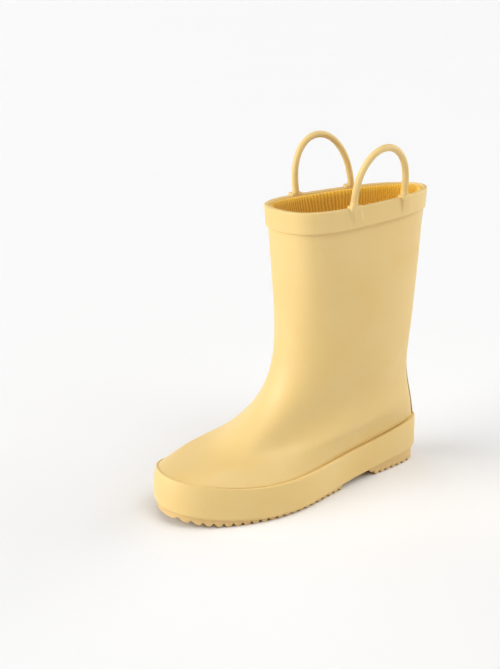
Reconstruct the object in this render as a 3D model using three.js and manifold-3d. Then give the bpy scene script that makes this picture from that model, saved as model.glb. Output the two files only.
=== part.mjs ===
// A child's rubber rain boot with two pull loops: the left boot of a pair.
// Millimetres, +Z up, toe towards -Y, outer side of the foot towards +X.
import * as THREE from "three";
import { ParametricGeometry } from "three/addons/geometries/ParametricGeometry.js";
import { mergeVertices } from "three/addons/utils/BufferGeometryUtils.js";
import Module from "manifold-3d";

const wasm = await Module();
wasm.setup();

// ---- Overall sizes
const soleLength = 190;
const soleWidth = 69; // across the ball of the foot
const bootHeight = 182.5; // floor to the rim, half way along the opening
const rimSlope = 4.7; // the rim's back stands this far above its front
const legDepth = 110; // the opening, front to back, outside the upper
const legWidth = 53; // the opening, side to side, outside the upper
const ankleHeight = 95; // where the foot's shape ends and the straight leg begins

// ---- Walls, from outside to inside, with a gap between touching layers
const gap = 0.3;
const collarWall = 1.1;
const tabWall = 0.9;
const stayWall = 1.0;
const foxingWall = 2.2;
const upperWall = 1.5;
const stiffenerWall = 0.7;
const liningWall = 0.9;

// ---- Sole stack, from the floor up
const treadPitch = 5.4; // rib to rib, along the sole
const treadDepth = 1.8;
const grooveMouth = 3.4;
const grooveRoot = 0.6;
const outsoleInset = 1.7; // the ribbed edge stands back from the foxing by this
const coreThickness = 2.0; // outsole sheet inside the foxing
const fillerThickness = 1.2;
const boardThickness = 1.0;
const foamThickness = 2.8;
const coverThickness = 0.6;
const footbedClearance = 0.8; // all round the loose footbed
const archFrom = 74; // the ribbed forefoot starts this far from the sole's back end, ahead of the arch
const heelTop = 49; // the heel block's length at the foxing
const heelFoot = 42; // and at the floor
const toeSpring = 5.5; // the tread's toe end stands this far off the floor
const springShare = 0.22; // the part of the sole's length that it rises over

// ---- Collar, back stay and pull loops
const collarHeight = 11.5;
const stayWidth = 13;
const rodRadius = 2.05;
const tabWidth = 7.5;
const tabEnd = 1.5; // a tab stops this far above the collar's lower edge
const tabRamp = 2.2; // the collar rises over a tab's edge in this length
const rootBlockHeight = 1.2;
// Each loop: its side; how far ahead of the rim's back its roots stand; the height of the rod's middle
// over the rim; and how its top leans out and forward
const loops = {
  handle_outer: { side: 1, front: 74.4, back: 33.1, height: 33.6, lean: 11, rake: 5.8 },
  handle_inner: { side: -1, front: 77.3, back: 36.9, height: 34.8, lean: 2.5, rake: 3.2 },
};

// ---- Finishes
const rubber = { color: "#f0d598", roughness: 0.55, metalness: 0 };
const soleRubber = { color: "#ecd092", roughness: 0.6, metalness: 0 };
const knit = { color: "#c99a35", roughness: 0.95, metalness: 0 };
const feltBoard = { color: "#9c8358", roughness: 0.9, metalness: 0 };
const foam = { color: "#e9e2cf", roughness: 0.9, metalness: 0 };
const canvas = { color: "#d8c394", roughness: 0.9, metalness: 0 };

// ---- Smooth lines: a uniform cubic B-spline, its controls settled so that it passes through the points
const outlineCount = 12;
const slices = 48;

const blend = (weights, points) =>
  points.reduce((sum, p, i) => sum.addScaledVector(p, weights[i]), new THREE.Vector3());

function splinePoint(controls, position, closed) {
  const n = controls.length;
  const last = n - 1;
  const span = closed ? Math.floor(position) : Math.min(Math.max(Math.floor(position), 0), last - 1);
  const w = position - span;
  const weights = [(1 - w) ** 3, 3 * w ** 3 - 6 * w ** 2 + 4, -3 * w ** 3 + 3 * w ** 2 + 3 * w + 1, w ** 3];
  const control = (i) => {
    if (closed) return controls[((i % n) + n) % n];
    if (i < 0) return controls[0].clone().multiplyScalar(2).sub(controls[1]);
    if (i > last) return controls[last].clone().multiplyScalar(2).sub(controls[last - 1]);
    return controls[i];
  };
  return blend(weights.map((x) => x / 6), [span - 1, span, span + 1, span + 2].map(control));
}

function splineThrough(points, closed) {
  const controls = points.map((p) => p.clone());
  for (let pass = 0; pass < 40; pass++)
    points.forEach((p, i) => controls[i].add(p.clone().sub(splinePoint(controls, i, closed))));
  return controls;
}

// A height that changes along the sole, given at five even steps from the heel end (0) to the toe end (1)
function heightLine(heights) {
  const controls = splineThrough(heights.map((h) => new THREE.Vector3(h, 0, 0)), false);
  return (share) => splinePoint(controls, share * (heights.length - 1), false).x;
}
const foxingBottom = heightLine([8.7, 5.2, 1.8, 2.1, 8.7]);
const foxingTop = heightLine([31.7, 25.3, 22.8, 22.9, 30]);
const shareAt = (y) => THREE.MathUtils.clamp(0.5 - y / soleLength, 0, 1);

// ---- The sole's outline, seen from above: [along, across] as shares of half the length and width
const outline = {
  heelBack: [1, -0.03],
  heelOuter: [0.857, 0.38],
  heelBreastOuter: [0.39, 0.565],
  waistOuter: [-0.015, 0.83],
  ballOuter: [-0.425, 0.935],
  toeOuter: [-0.87, 0.515],
  toeTip: [-1, -0.25],
  toeInner: [-0.825, -0.95],
  ballInner: [-0.42, -0.975],
  waistInner: [0, -0.61],
  heelBreastInner: [0.38, -0.61],
  heelInner: [0.82, -0.64],
};
const outlinePoints = Object.values(outline).map(
  ([along, across]) => new THREE.Vector3((across * soleWidth) / 2, (along * soleLength) / 2, 0),
);
const outlineControls = splineThrough(outlinePoints, true);

// A point of the outline at s, from 0 at the heel's back, past the outer side, to 1; moved in by inset
function outlinePoint(s, inset) {
  const at = (x) => splinePoint(outlineControls, x * outlineCount, true);
  const step = 0.002;
  const along = at(s + step).sub(at(s - step)).normalize();
  return at(s).add(new THREE.Vector3(along.y, -along.x, 0).multiplyScalar(inset));
}

// ---- The boot's wall, as the outside of its upper: rings of twelve points from the sole to the rim
const wallInset = foxingWall + gap;
const topLean = 0.4; // and the wall leans in by this much at the foxing's top edge
const legBackInset = 1.1; // the rim's back stands this far in from the sole's back end
const legHeight = (share) => ankleHeight + share * (bootHeight - ankleHeight);

const ring = (back, reach, frontHeight, width, widest, foot, slope = 0) =>
  ({ back, reach, frontHeight, width, widest, foot, slope });

// Each ring: its back, as [inset from the sole's back end, height]; its reach forward; its front's height;
// its width; where it is widest, as a share from back to front; how far it still has the sole's outline;
// and how much of the outer side's slope it has
const rings = [
  ring([4.4, 38], 0.886 * soleLength, 32, 1.03 * soleWidth, 0.43, 0.92, 0.9),
  ring([7, 48], 0.758 * soleLength, 36.8, 1.035 * soleWidth, 0.42, 0.75, 1.15),
  ring([10, 63], 0.652 * soleLength, 47.6, 0.856 * soleWidth, 0.39, 0.5, 0.7),
  ring([11.2, 82], 0.56 * soleLength, 63.9, 0.81 * soleWidth, 0.39, 0.25, 0.25),
  ring([9.7, legHeight(0.103)], legDepth - 10.8, legHeight(-0.093), legWidth + 2, 0.44, 0.09),
  ring([6.8, legHeight(0.389)], legDepth - 9.2, legHeight(0.24), legWidth + 2.1, 0.53, 0.02),
  ring([3.9, legHeight(0.686)], legDepth - 5.2, legHeight(0.593), legWidth + 2.1, 0.63, 0),
  ring([legBackInset, bootHeight + rimSlope / 2], legDepth, bootHeight - rimSlope / 2, legWidth, 0.71, 0),
];
// The forefoot slopes in on its outer side, at the waist, ball and toe, as shares of the sole's width
const outerSlope = [0, 0, 0, 0.05, 0.16, 0.07];

// A leg ring's outline: an egg whose ends grow fuller towards the rim
function eggPoint(i, widest, fullness) {
  const angle = (2 * Math.PI * i) / outlineCount;
  const c = Math.abs(Math.cos(angle)) < 1e-9 ? 0 : Math.cos(angle);
  const q = Math.abs(Math.sin(angle)) < 1e-9 ? 0 : Math.sin(angle);
  const power = 2 / (2.1 + fullness * (c > 0 ? 0.1 : 0.55));
  const reach = Math.abs(c) ** power;
  const share = c > 0 ? widest * (1 - reach) : widest + (1 - widest) * reach;
  return [share, Math.sign(q) * Math.abs(q) ** power];
}

function ringPoints({ back, reach, frontHeight, width, widest, foot, slope }, index) {
  const fullness = THREE.MathUtils.clamp((index - 3) / 4, 0, 1);
  return outlinePoints.map((p, i) => {
    const [eggShare, eggSide] = eggPoint(i, widest, fullness);
    const share = THREE.MathUtils.lerp(eggShare, 0.5 - p.y / soleLength, foot);
    const side = THREE.MathUtils.lerp(eggSide, (0.932 * p.x) / (soleWidth / 2), foot);
    return new THREE.Vector3(
      (side * width) / 2 - slope * (outerSlope[i] ?? 0) * soleWidth,
      soleLength / 2 - back[0] - share * reach,
      THREE.MathUtils.lerp(back[1], frontHeight, share),
    );
  });
}

// Inside the foxing the wall follows the sole's outline, from the outsole up to the foxing's top edge
const foxingLevel = 0.1;
const ringInFoxing = (rise, line, lean) =>
  outlinePoints.map((_, i) => {
    const p = outlinePoint(i / outlineCount, wallInset + lean);
    return p.setZ(line(shareAt(p.y)) + rise);
  });
const footRing = splineThrough(ringInFoxing(coreThickness + gap, foxingBottom, 0), true);
const wallGrid = [ringInFoxing(0, foxingTop, topLean), ...rings.map(ringPoints)].map((ring) =>
  splineThrough(ring, true),
);
const wallColumns = outlinePoints.map((_, i) => splineThrough(wallGrid.map((ring) => ring[i]), false));

// The wall at a level, 0 at the sole to 1 at the rim, and s round it as on the outline
function wallSurface(level, s) {
  const rise = (level - foxingLevel) / (1 - foxingLevel);
  const height = Math.max(rise, 0) * (wallGrid.length - 1);
  const ring = wallColumns.map((column) => splinePoint(column, height, false));
  const above = splinePoint(ring, s * outlineCount, true);
  if (rise >= 0) return above;
  return splinePoint(footRing, s * outlineCount, true).lerp(above, level / foxingLevel);
}

// The wall's outward direction between two levels
function wallNormal(low, high, s) {
  const step = 0.003;
  const up = wallSurface(high, s).sub(wallSurface(low, s));
  const round = wallSurface((low + high) / 2, s + step).sub(wallSurface((low + high) / 2, s - step));
  return up.cross(round).normalize();
}

// The same point moved out of the wall by out, keeping a layer's thickness across a bend, and up by raise
function wallPoint(level, s, out, raise = 0) {
  const step = 0.003;
  const under = wallNormal(Math.max(level - step, 0), Math.max(level, step), s);
  const over = wallNormal(Math.min(level, 1 - step), Math.min(level + step, 1), s);
  const mitre = under.clone().add(over).divideScalar(1 + under.dot(over));
  const point = wallSurface(level, s).addScaledVector(mitre, out);
  return point.setZ(point.z + raise);
}

// The level whose back stands a distance below the rim's back
function levelBelowRim(distance) {
  const height = wallSurface(1, 0).z - distance;
  let [low, high] = [foxingLevel, 1];
  for (let i = 0; i < 30; i++) {
    const middle = (low + high) / 2;
    if (wallSurface(middle, 0).z < height) low = middle;
    else high = middle;
  }
  return low;
}

// Where on a side of the rim the wall has a given y
function rimPlace(side, y) {
  let [back, front] = side > 0 ? [0, 0.5] : [1, 0.5];
  for (let i = 0; i < 30; i++) {
    const middle = (back + front) / 2;
    if (wallSurface(1, middle).y > y) back = middle;
    else front = middle;
  }
  return back;
}

// How far round, as a change of s, a length is along a level near s
const roundFor = (length, level, s) =>
  (0.01 * length) / wallSurface(level, s + 0.005).distanceTo(wallSurface(level, s - 0.005));

// ---- Bodies made from the wall
const evenly = (from, to, steps) =>
  Array.from({ length: steps + 1 }, (_, i) => THREE.MathUtils.lerp(from, to, i / steps));
const allRound = evenly(0, 1, slices);
const footLevels = [0, foxingLevel / 2, ...evenly(foxingLevel, 0.5, 12)];
const allLevels = [...footLevels, ...evenly(0.5, 1, 7).slice(1)];
const partRound = (middle, half) => {
  const steps = Math.round(half * slices);
  return evenly(middle - steps / slices, middle + steps / slices, 2 * steps);
};

// A closed section carried round the wall through the stops. section(s) gives its corners
// [level, out, raise], outside first from the top down, then inside from the bottom up.
// An open sweep has closing(s), the points that its two end faces close on.
function sweep(section, stops, closing) {
  const turns = closing ? [stops[0], ...stops, stops[stops.length - 1]] : stops;
  const rows = turns.map((s, i) => {
    const capped = closing && (i === 0 || i === turns.length - 1);
    const corners = capped ? closing(s) : section(s);
    return corners.map(([level, out, raise]) => wallPoint(level, s, out, raise));
  });
  return skin(rows);
}

// The closed surface over rows of points. Each row is a closed loop; the first and last meet or close up.
function skin(rows) {
  const count = rows[0].length;
  const pick = (u, v, target) =>
    target.copy(rows[Math.round(u * (rows.length - 1))][Math.round(v * count) % count]);
  return new ParametricGeometry(pick, rows.length - 1, count);
}

// A layer of even thickness between two offsets, over a stretch of levels
const layer = (levels, outer, inner) => (s) => {
  const heights = levels(s);
  return [...heights.toReversed().map((h) => [h, outer]), ...heights.map((h) => [h, inner])];
};
const layerRound = (levels, outer, inner) => sweep(layer(() => levels, outer, inner), allRound);
const layerPatch = (levels, stops, outer, inner) =>
  sweep(layer(levels, outer, inner), stops, layer(levels, (outer + inner) / 2, (outer + inner) / 2));

// ---- Solids joined and cut
function toSolid(geometry) {
  const bare = geometry.clone();
  bare.deleteAttribute("normal");
  bare.deleteAttribute("uv");
  const merged = mergeVertices(bare, 1e-4);
  return new wasm.Manifold(
    new wasm.Mesh({
      numProp: 3,
      vertProperties: merged.attributes.position.array,
      triVerts: new Uint32Array(merged.index.array),
    }),
  );
}

function toGeometry(solid) {
  const { vertProperties, triVerts } = solid.getMesh();
  return new THREE.BufferGeometry()
    .setAttribute("position", new THREE.BufferAttribute(vertProperties, 3))
    .setIndex(new THREE.BufferAttribute(triVerts, 1));
}

// The space above the outline, moved in by inset
function outlineBlock(inset) {
  const shape = new THREE.Shape(
    evenly(0, 1, slices).slice(0, -1).map((s) => {
      const p = outlinePoint(s, inset);
      return new THREE.Vector2(p.x, p.y);
    }),
  );
  return toSolid(new THREE.ExtrudeGeometry(shape, { depth: bootHeight, bevelEnabled: false }));
}

// A side view, drawn as [y, z] points, carried across the whole width of the sole
function acrossSole(points) {
  const shape = new THREE.Shape(points.map(([y, z]) => new THREE.Vector2(y, z)));
  const geometry = new THREE.ExtrudeGeometry(shape, { depth: 2 * soleWidth, bevelEnabled: false });
  const turn = new THREE.Matrix4().makeBasis(
    new THREE.Vector3(0, 1, 0),
    new THREE.Vector3(0, 0, 1),
    new THREE.Vector3(1, 0, 0),
  );
  return toSolid(geometry.applyMatrix4(turn).translate(-soleWidth, 0, 0));
}

// ---- Sole
const soleBack = soleLength / 2;
const archFront = soleBack - archFrom;
const [breastTop, breastFoot] = [soleBack - heelTop, soleBack - heelFoot];
const tread = (y) => {
  const rise = THREE.MathUtils.clamp((shareAt(y) - 1 + springShare) / springShare, 0, 1);
  return toeSpring * rise ** 2;
};

// The tapered grooves between the tread's ribs, from a back place to a front one
function grooves(back, front) {
  const count = Math.floor((back - front) / treadPitch);
  const margin = (back - front - (count - 1) * treadPitch) / 2;
  return evenly(back - margin, front + margin, count - 1)
    .map((y) =>
      acrossSole([
        [y - grooveMouth / 2, tread(y) - 1],
        [y + grooveMouth / 2, tread(y) - 1],
        [y + grooveMouth / 2, tread(y)],
        [y + grooveRoot / 2, tread(y) + treadDepth],
        [y - grooveRoot / 2, tread(y) + treadDepth],
        [y - grooveMouth / 2, tread(y)],
      ]),
    )
    .reduce((all, groove) => all.add(groove));
}

const floorLine = (from, to) => evenly(from, to, 16).map((y) => [y, tread(y)]);

// A line at a height above the foxing's bottom edge, from one place to another
const lineAbove = (from, to, rise, steps = 16) =>
  evenly(from, to, steps).map((y) => [y, foxingBottom(shareAt(y)) + rise]);

function makeOutsole() {
  const edge = acrossSole([
    ...floorLine(archFront, -soleBack),
    ...lineAbove(-soleBack, archFront, -gap),
  ]).intersect(outlineBlock(outsoleInset));
  const overlap = 0.2;
  const core = acrossSole([
    ...lineAbove(soleBack, archFront, 0, 8),
    ...lineAbove(archFront - 1, -soleBack, -gap - overlap),
    ...lineAbove(-soleBack, soleBack, coreThickness, 24),
  ]).intersect(outlineBlock(foxingWall + gap));
  return toGeometry(core.add(edge).subtract(grooves(archFront, -soleBack + outsoleInset)));
}

function makeHeel() {
  const side = [[soleBack, 0], [breastFoot, 0], ...lineAbove(breastTop, soleBack, -gap, 8)];
  const block = acrossSole(side).intersect(outlineBlock(outsoleInset));
  return toGeometry(block.subtract(grooves(soleBack - outsoleInset, breastFoot)));
}

// A flat layer inside the lining, given by how far it stands above the outsole's core
function solePlate(rise, thickness, inset) {
  const bottom = coreThickness + rise;
  const side = [
    ...lineAbove(soleBack, -soleBack, bottom),
    ...lineAbove(-soleBack, soleBack, bottom + thickness),
  ];
  return toGeometry(acrossSole(side).intersect(outlineBlock(inset)));
}

function makeFoxing() {
  const bottomRound = 2.4;
  const topBevel = 0.9;
  const section = (s) => {
    const share = shareAt(outlinePoint(s, 0).y);
    const [low, high] = [foxingBottom(share), foxingTop(share)];
    const outside = [
      [1.3, high],
      [0.4, high - topBevel],
      [0, (low + high) / 2],
      [0, low + bottomRound],
      [0.3 * bottomRound, low + 0.3 * bottomRound],
      [0.7 * bottomRound, low],
      [foxingWall, low],
      [foxingWall, low + coreThickness],
    ].map(([inset, z]) => outlinePoint(s, inset).setZ(z));
    const inside = evenly(0, foxingLevel, 3).map((level) => wallPoint(level, s, gap));
    return [...outside, ...inside];
  };
  return skin(allRound.map(section));
}

// ---- Upper and what lies inside it
const stiffenerOut = -upperWall - gap;
const liningOut = stiffenerOut - stiffenerWall - gap;
const stiffenerIn = stiffenerOut - stiffenerWall;
const liningIn = liningOut - liningWall;
const insideInset = wallInset - liningIn + gap;
const seam = 0.004; // as a level: the leg lining starts this far above the foot lining
const legLevels = [footLevels.at(-1) + seam, ...allLevels.slice(footLevels.length, -1), levelBelowRim(1)];

// A stiffener moulded to the wall, from the sole up to one of the foot's levels
const makeStiffener = (middle, half, levelCount) =>
  layerPatch(() => footLevels.slice(0, levelCount), partRound(middle, half), stiffenerOut, stiffenerIn);

// A patch over the ankle bone, with a pointed lower edge
function makeAnklePatch(middle) {
  const halfTurn = 5 / slices;
  const [top, point] = [0.6, 0.36];
  const low = (s) => point + (0.1 * Math.abs(s - middle)) / halfTurn;
  return layerPatch((s) => evenly(low(s), top, 5), partRound(middle, halfTurn), stiffenerOut, stiffenerIn);
}

// ---- Collar, tabs and stay
const tabDepth = collarHeight - tabEnd;
const rimBack = soleLength / 2 - legBackInset;
const rootPlace = (loop, end) => rimPlace(loop.side, rimBack - loop[end]);
const tabs = Object.entries(loops).flatMap(([name, loop]) =>
  ["front", "back"].map((end) => ({
    name: `tab_${name.split("_")[1]}_${end}`,
    place: rootPlace(loop, end),
  })),
);
const tabHalfTurn = (place) => roundFor(tabWidth / 2, 1, place);

// How far the collar is lifted over the tabs, from 0 to 1
function tabLift(s, level) {
  const fade = THREE.MathUtils.smoothstep;
  const down = 1 - fade(1 - level, 1 - levelBelowRim(tabDepth), 1 - levelBelowRim(tabDepth + tabRamp / 2));
  return Math.max(
    ...tabs.map(({ place }) => {
      const away = Math.abs(s - place - Math.round(s - place));
      const half = tabHalfTurn(place);
      return down * (1 - fade(away, half + roundFor(gap, 1, place), half + roundFor(tabRamp, 1, place)));
    }),
  );
}

function makeCollar() {
  const [low, bevelTop, tabLow] = [collarHeight, collarHeight - 1.2, tabDepth].map(levelBelowRim);
  const heights = [low, bevelTop, ...evenly(tabLow, 1, 3)];
  const edges = tabs.flatMap(({ place }) =>
    [gap, tabRamp].flatMap((reach) => {
      const turn = tabHalfTurn(place) + roundFor(reach, 1, place);
      return [place - turn, place + turn];
    }),
  );
  const plain = allRound.filter((s) => edges.every((edge) => Math.abs(edge - s) > 0.4 / slices));
  const stops = [...plain, ...edges].sort((a, b) => a - b);
  const bevel = 0.5;
  const section = (s) => {
    const outer = heights.map((level, i) => {
      const cut = i === 0 || i === heights.length - 1 ? bevel : 0;
      return [level, gap + tabLift(s, level) * (tabWall + gap) + collarWall - cut];
    });
    const inner = heights.map((level) => [level, gap + tabLift(s, level) * (tabWall + gap)]);
    return [...outer.toReversed(), ...inner];
  };
  return sweep(section, stops);
}

// A tab: a thin plate under the collar and a small block over the rim, which the loop stands on
function makeTab(place) {
  const low = levelBelowRim(tabDepth);
  const [inside, outside] = [-upperWall, 2 * gap + tabWall + collarWall];
  const top = gap + rootBlockHeight;
  const section = [
    [1, outside, top],
    [1, outside, gap],
    [1, gap + tabWall, gap],
    [1, gap + tabWall, 0],
    [low, gap + tabWall, 0],
    [low, gap, 0],
    [1, gap, 0],
    [1, gap, gap],
    [1, inside, gap],
    [1, inside, top],
  ];
  const hub = section.map(() => [1, gap + tabWall / 2, gap + rootBlockHeight / 2]);
  const half = tabHalfTurn(place);
  return sweep(() => section, evenly(place - half, place + half, 4), () => hub);
}

function makeStay() {
  const half = roundFor(stayWidth / 2, 0.6, 0);
  const levels = evenly(foxingLevel + 0.01, levelBelowRim(collarHeight + gap), 14);
  return layerPatch(() => levels, evenly(-half, half, 4), gap + stayWall, gap);
}

// ---- Pull loops
const rootRise = 2 * gap + rootBlockHeight + rodRadius;
const rootPoint = (loop, end) => wallPoint(1, rootPlace(loop, end), gap, rootRise);

// The rod's middle line: an arch from the front root to the back root, leaning out and raked
class LoopCurve extends THREE.Curve {
  constructor(loop) {
    super();
    this.loop = loop;
    this.front = rootPoint(loop, "front");
    this.back = rootPoint(loop, "back");
  }
  getPoint(t, target = new THREE.Vector3()) {
    const angle = Math.PI * t;
    const rise = Math.sin(angle) ** 0.9;
    const { side, height, lean, rake } = this.loop;
    return target
      .lerpVectors(this.front, this.back, (1 - Math.cos(angle)) / 2)
      .add(new THREE.Vector3(side * lean * rise, -rake * rise, (height - rootRise) * rise));
  }
}

function makeLoop(loop) {
  const curve = new LoopCurve(loop);
  const circle = new THREE.Shape().absarc(0, 0, rodRadius, 0, 2 * Math.PI);
  const rod = new THREE.ExtrudeGeometry(circle, { steps: 24, curveSegments: 5, extrudePath: curve });
  const knuckle = (at) =>
    toSolid(new THREE.SphereGeometry(rodRadius, 10, 6).rotateX(Math.PI / 2).translate(at.x, at.y, at.z));
  return toGeometry(toSolid(rod).add(knuckle(curve.front)).add(knuckle(curve.back)));
}

// ---- The boot
const boot = new THREE.Group();

function addPiece(name, geometry, finish) {
  const mesh = new THREE.Mesh(geometry, new THREE.MeshStandardMaterial(finish));
  mesh.name = name;
  boot.add(mesh);
}

const stack = [
  ["sole_filler", fillerThickness, insideInset, feltBoard],
  ["insole_board", boardThickness, insideInset, feltBoard],
  ["footbed_foam", foamThickness, insideInset + footbedClearance, foam],
  ["footbed_cover", coverThickness, insideInset + footbedClearance, knit],
];

addPiece("outsole", makeOutsole(), soleRubber);
addPiece("heel", makeHeel(), soleRubber);
addPiece("foxing_band", makeFoxing(), rubber);
let rise = gap;
for (const [name, thickness, inset, finish] of stack) {
  addPiece(name, solePlate(rise, thickness, inset), finish);
  rise += thickness + gap;
}
addPiece("upper", layerRound(allLevels, 0, -upperWall), rubber);
addPiece("heel_counter", makeStiffener(0, 8 / slices, 8), feltBoard);
addPiece("toe_puff", makeStiffener(0.5, 8 / slices, 6), feltBoard);
addPiece("ankle_patch_outer", makeAnklePatch(0.25), canvas);
addPiece("ankle_patch_inner", makeAnklePatch(0.75), canvas);
addPiece("foot_lining", layerRound(footLevels, liningOut, liningIn), knit);
addPiece("leg_lining", layerRound(legLevels, liningOut, liningIn), knit);
addPiece("back_stay", makeStay(), rubber);
addPiece("collar_band", makeCollar(), rubber);
for (const { name, place } of tabs) addPiece(name, makeTab(place), rubber);
for (const [name, loop] of Object.entries(loops)) addPiece(name, makeLoop(loop), rubber);

// The frame's origin is on the floor, under the middle of the whole boot
const box = new THREE.Box3().setFromObject(boot);
const centre = box.getCenter(new THREE.Vector3());
boot.position.set(-centre.x, -centre.y, -box.min.z);

export default boot;
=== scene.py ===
"""A child's rubber rain boot with a ribbed sole, a knit lining and two pull loops.

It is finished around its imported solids.
"""

import math

import bpy
import numpy as np
from bpy.props import FloatProperty, FloatVectorProperty, IntProperty, PointerProperty
from mathutils import Matrix, Vector


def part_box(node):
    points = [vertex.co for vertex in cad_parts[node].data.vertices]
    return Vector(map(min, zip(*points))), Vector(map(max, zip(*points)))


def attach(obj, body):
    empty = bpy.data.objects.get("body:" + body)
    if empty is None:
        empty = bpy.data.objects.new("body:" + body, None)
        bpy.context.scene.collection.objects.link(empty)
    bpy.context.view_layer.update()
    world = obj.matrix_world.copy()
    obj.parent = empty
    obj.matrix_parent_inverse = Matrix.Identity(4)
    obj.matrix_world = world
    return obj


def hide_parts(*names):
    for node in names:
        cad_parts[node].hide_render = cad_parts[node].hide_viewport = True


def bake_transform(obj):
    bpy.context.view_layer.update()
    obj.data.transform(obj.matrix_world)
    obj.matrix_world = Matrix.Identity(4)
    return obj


bl_info = {
    "name": "Rain Boot",
    "version": (1, 0, 0),
    "blender": (4, 5, 0),
    "location": "3D View > Sidebar > Rain Boot",
    "description": "A child's rubber rain boot with a ribbed sole, a knit lining and two pull loops",
    "category": "Add Mesh",
}

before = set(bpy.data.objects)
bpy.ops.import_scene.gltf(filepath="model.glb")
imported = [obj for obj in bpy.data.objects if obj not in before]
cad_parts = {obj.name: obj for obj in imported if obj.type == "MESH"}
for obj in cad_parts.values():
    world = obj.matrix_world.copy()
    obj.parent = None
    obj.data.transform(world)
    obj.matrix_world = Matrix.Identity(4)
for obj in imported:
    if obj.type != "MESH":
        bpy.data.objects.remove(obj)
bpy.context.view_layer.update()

MM = 0.001

# ---- Sizes and colours ----


def length(name, millimetres, description):
    """A length property, given here in millimetres and held in metres."""
    kind = {"unit": "LENGTH", "subtype": "DISTANCE", "precision": 5}
    return FloatProperty(name=name, description=description, default=millimetres * MM, **kind)


def linear(code):
    """An sRGB hex colour as linear RGB."""
    channels = [int(code[i : i + 2], 16) / 255 for i in (1, 3, 5)]
    return [c / 12.92 if c <= 0.04045 else ((c + 0.055) / 1.055) ** 2.4 for c in channels]


def colour(name, code, description):
    """A colour property, given here as sRGB hex and held as linear RGB."""
    return FloatVectorProperty(
        name=name, description=description, default=linear(code), size=3, min=0, max=1, subtype="COLOR"
    )


class BootUpperSizes(bpy.types.PropertyGroup):
    wall: length("Upper wall", 1.5, "Thickness of the rubber upper")
    print_through: length("Print-through", 0.16, "How far a stiffener under the rubber lifts its surface")
    collar_height: length("Collar height", 11.5, "Height of the band round the rim")
    collar_wall: length("Collar wall", 1.4, "How far the collar stands out from the upper")
    collar_round: length("Collar edge", 0.5, "Rounding of the collar's edges")
    tab_lift: length("Tab print-through", 1.25, "How far a loop's tab lifts the collar over it")
    tab_width: length("Tab width", 7.5, "Width of the tabs that the loops are moulded to")
    stay_width: length("Back stay width", 13.0, "Width of the strip over the back seam")
    stay_wall: length("Back stay wall", 1.2, "Thickness of the strip over the back seam")


class BootSoleSizes(bpy.types.PropertyGroup):
    ledge: length("Foxing ledge", 1.2, "Width of the foxing's flat top edge")
    top_bevel: length("Foxing top edge", 0.9, "Rounding of the foxing's top edge")
    bottom_round: length("Foxing foot", 2.6, "Rounding of the foxing's bottom edge")
    tread_inset: length("Tread inset", 1.7, "How far the ribbed edge stands back from the foxing")
    rib_pitch: length("Rib pitch", 5.4, "Rib to rib, along the sole")
    groove_depth: length("Groove depth", 1.8, "Depth of the grooves between the ribs")
    groove_mouth: length("Groove mouth", 3.9, "Width of a groove at the floor")
    groove_root: length("Groove root", 0.3, "Width of a groove at its bottom")
    flute: FloatProperty(
        name="Heel fluting",
        description="Depth of the flutes up the heel's side, as a share of the grooves'",
        default=0.04,
    )


class BootLiningSizes(bpy.types.PropertyGroup):
    wall: length("Lining wall", 0.9, "Thickness of the knit")
    wale_count: IntProperty(name="Wales", description="Number of ribs round the leg", default=204)
    wale_depth: length("Wale depth", 0.16, "Depth of the furrows between the ribs")
    course: length("Course", 1.3, "Height of one row of stitches")
    seed: IntProperty(name="Seed", description="Seed of the knit's unevenness", default=7)


class BootLoopSizes(bpy.types.PropertyGroup):
    rod_radius: length("Rod radius", 2.05, "Radius of the loops' rod")
    root_flare: length("Root flare", 0.3, "How much wider the rod grows where it leaves its block")
    root_block: length("Root block", 1.2, "Height of the block over the rim that the rod stands on")
    block_edge: length("Block edge", 0.4, "Rounding of the block's edges")


class BootColours(bpy.types.PropertyGroup):
    rubber: colour("Rubber", "#DFC17F", "Moulded rubber of the upper, collar and loops")
    rubber_deep: colour("Rubber, deep", "#DAB86F", "The same rubber where its pigment is denser")
    # A thin brown line painted along the back stay's edges: painted shade, standing for the shade of the
    # strip's side walls
    cement: colour("Cement", "#86602C", "Painted shade along the back stay's edges")
    tread: colour("Tread rubber", "#D8B576", "Rubber of the ribbed sole")
    # The knit's two tones are a lit and a shaded copy of its yarn: painted light on the ridges, pushed bright
    # to light the inside of the leg, and painted shade in the furrows
    knit_lit_ridge: colour("Knit ridge, lit", "#FFCE50", "The lining's yarn on its ribs, painted as lit")
    knit_shaded_furrow: colour("Knit furrow, shaded", "#E0A830", "The lining's yarn between its ribs, painted as shaded")
    foam: colour("Foam", "#E9E2CF", "Foam of the footbed")
    board: colour("Board", "#9C8358", "Pressed fibre of the boards and stiffeners")
    canvas: colour("Canvas", "#D8C394", "Rubberised canvas of the ankle patches")
    floor: colour("Floor", "#ECECEC", "The studio floor")


# ---- Smooth lines: uniform cubic B-splines, settled so that they pass through their points ----


SETTLING_ROUNDS = 60  # each brings the controls closer to where the line passes through its points


def span_weights(w):
    """The weights of the four controls round a place that is w of the way along its span."""
    return np.stack([(1 - w) ** 3, 3 * w**3 - 6 * w**2 + 4, 3 * w + 3 * w**2 - 3 * w**3 + 1, w**3], -1) / 6


def spline(controls, position, closed):
    """Points of the spline at positions counted in controls; controls are rows of numbers."""
    position = np.asarray(position, float)
    span = np.floor(position).astype(int)
    if not closed:
        span = np.clip(span, 0, len(controls) - 2)
    weights = span_weights(position - span)
    index = span[..., None] + np.arange(-1, 3)
    if closed:
        net, index = controls, index % len(controls)
    else:
        net = np.concatenate([[2 * controls[0] - controls[1]], controls, [2 * controls[-1] - controls[-2]]])
        index = index + 1
    return np.einsum("...k,...kd->...d", weights, net[index])


def through(points, closed):
    """The controls of the spline that passes through points."""
    points = np.asarray(points, float)
    controls = points.copy()
    for _ in range(SETTLING_ROUNDS):
        controls += points - spline(controls, np.arange(len(points)), closed)
    return controls


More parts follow.
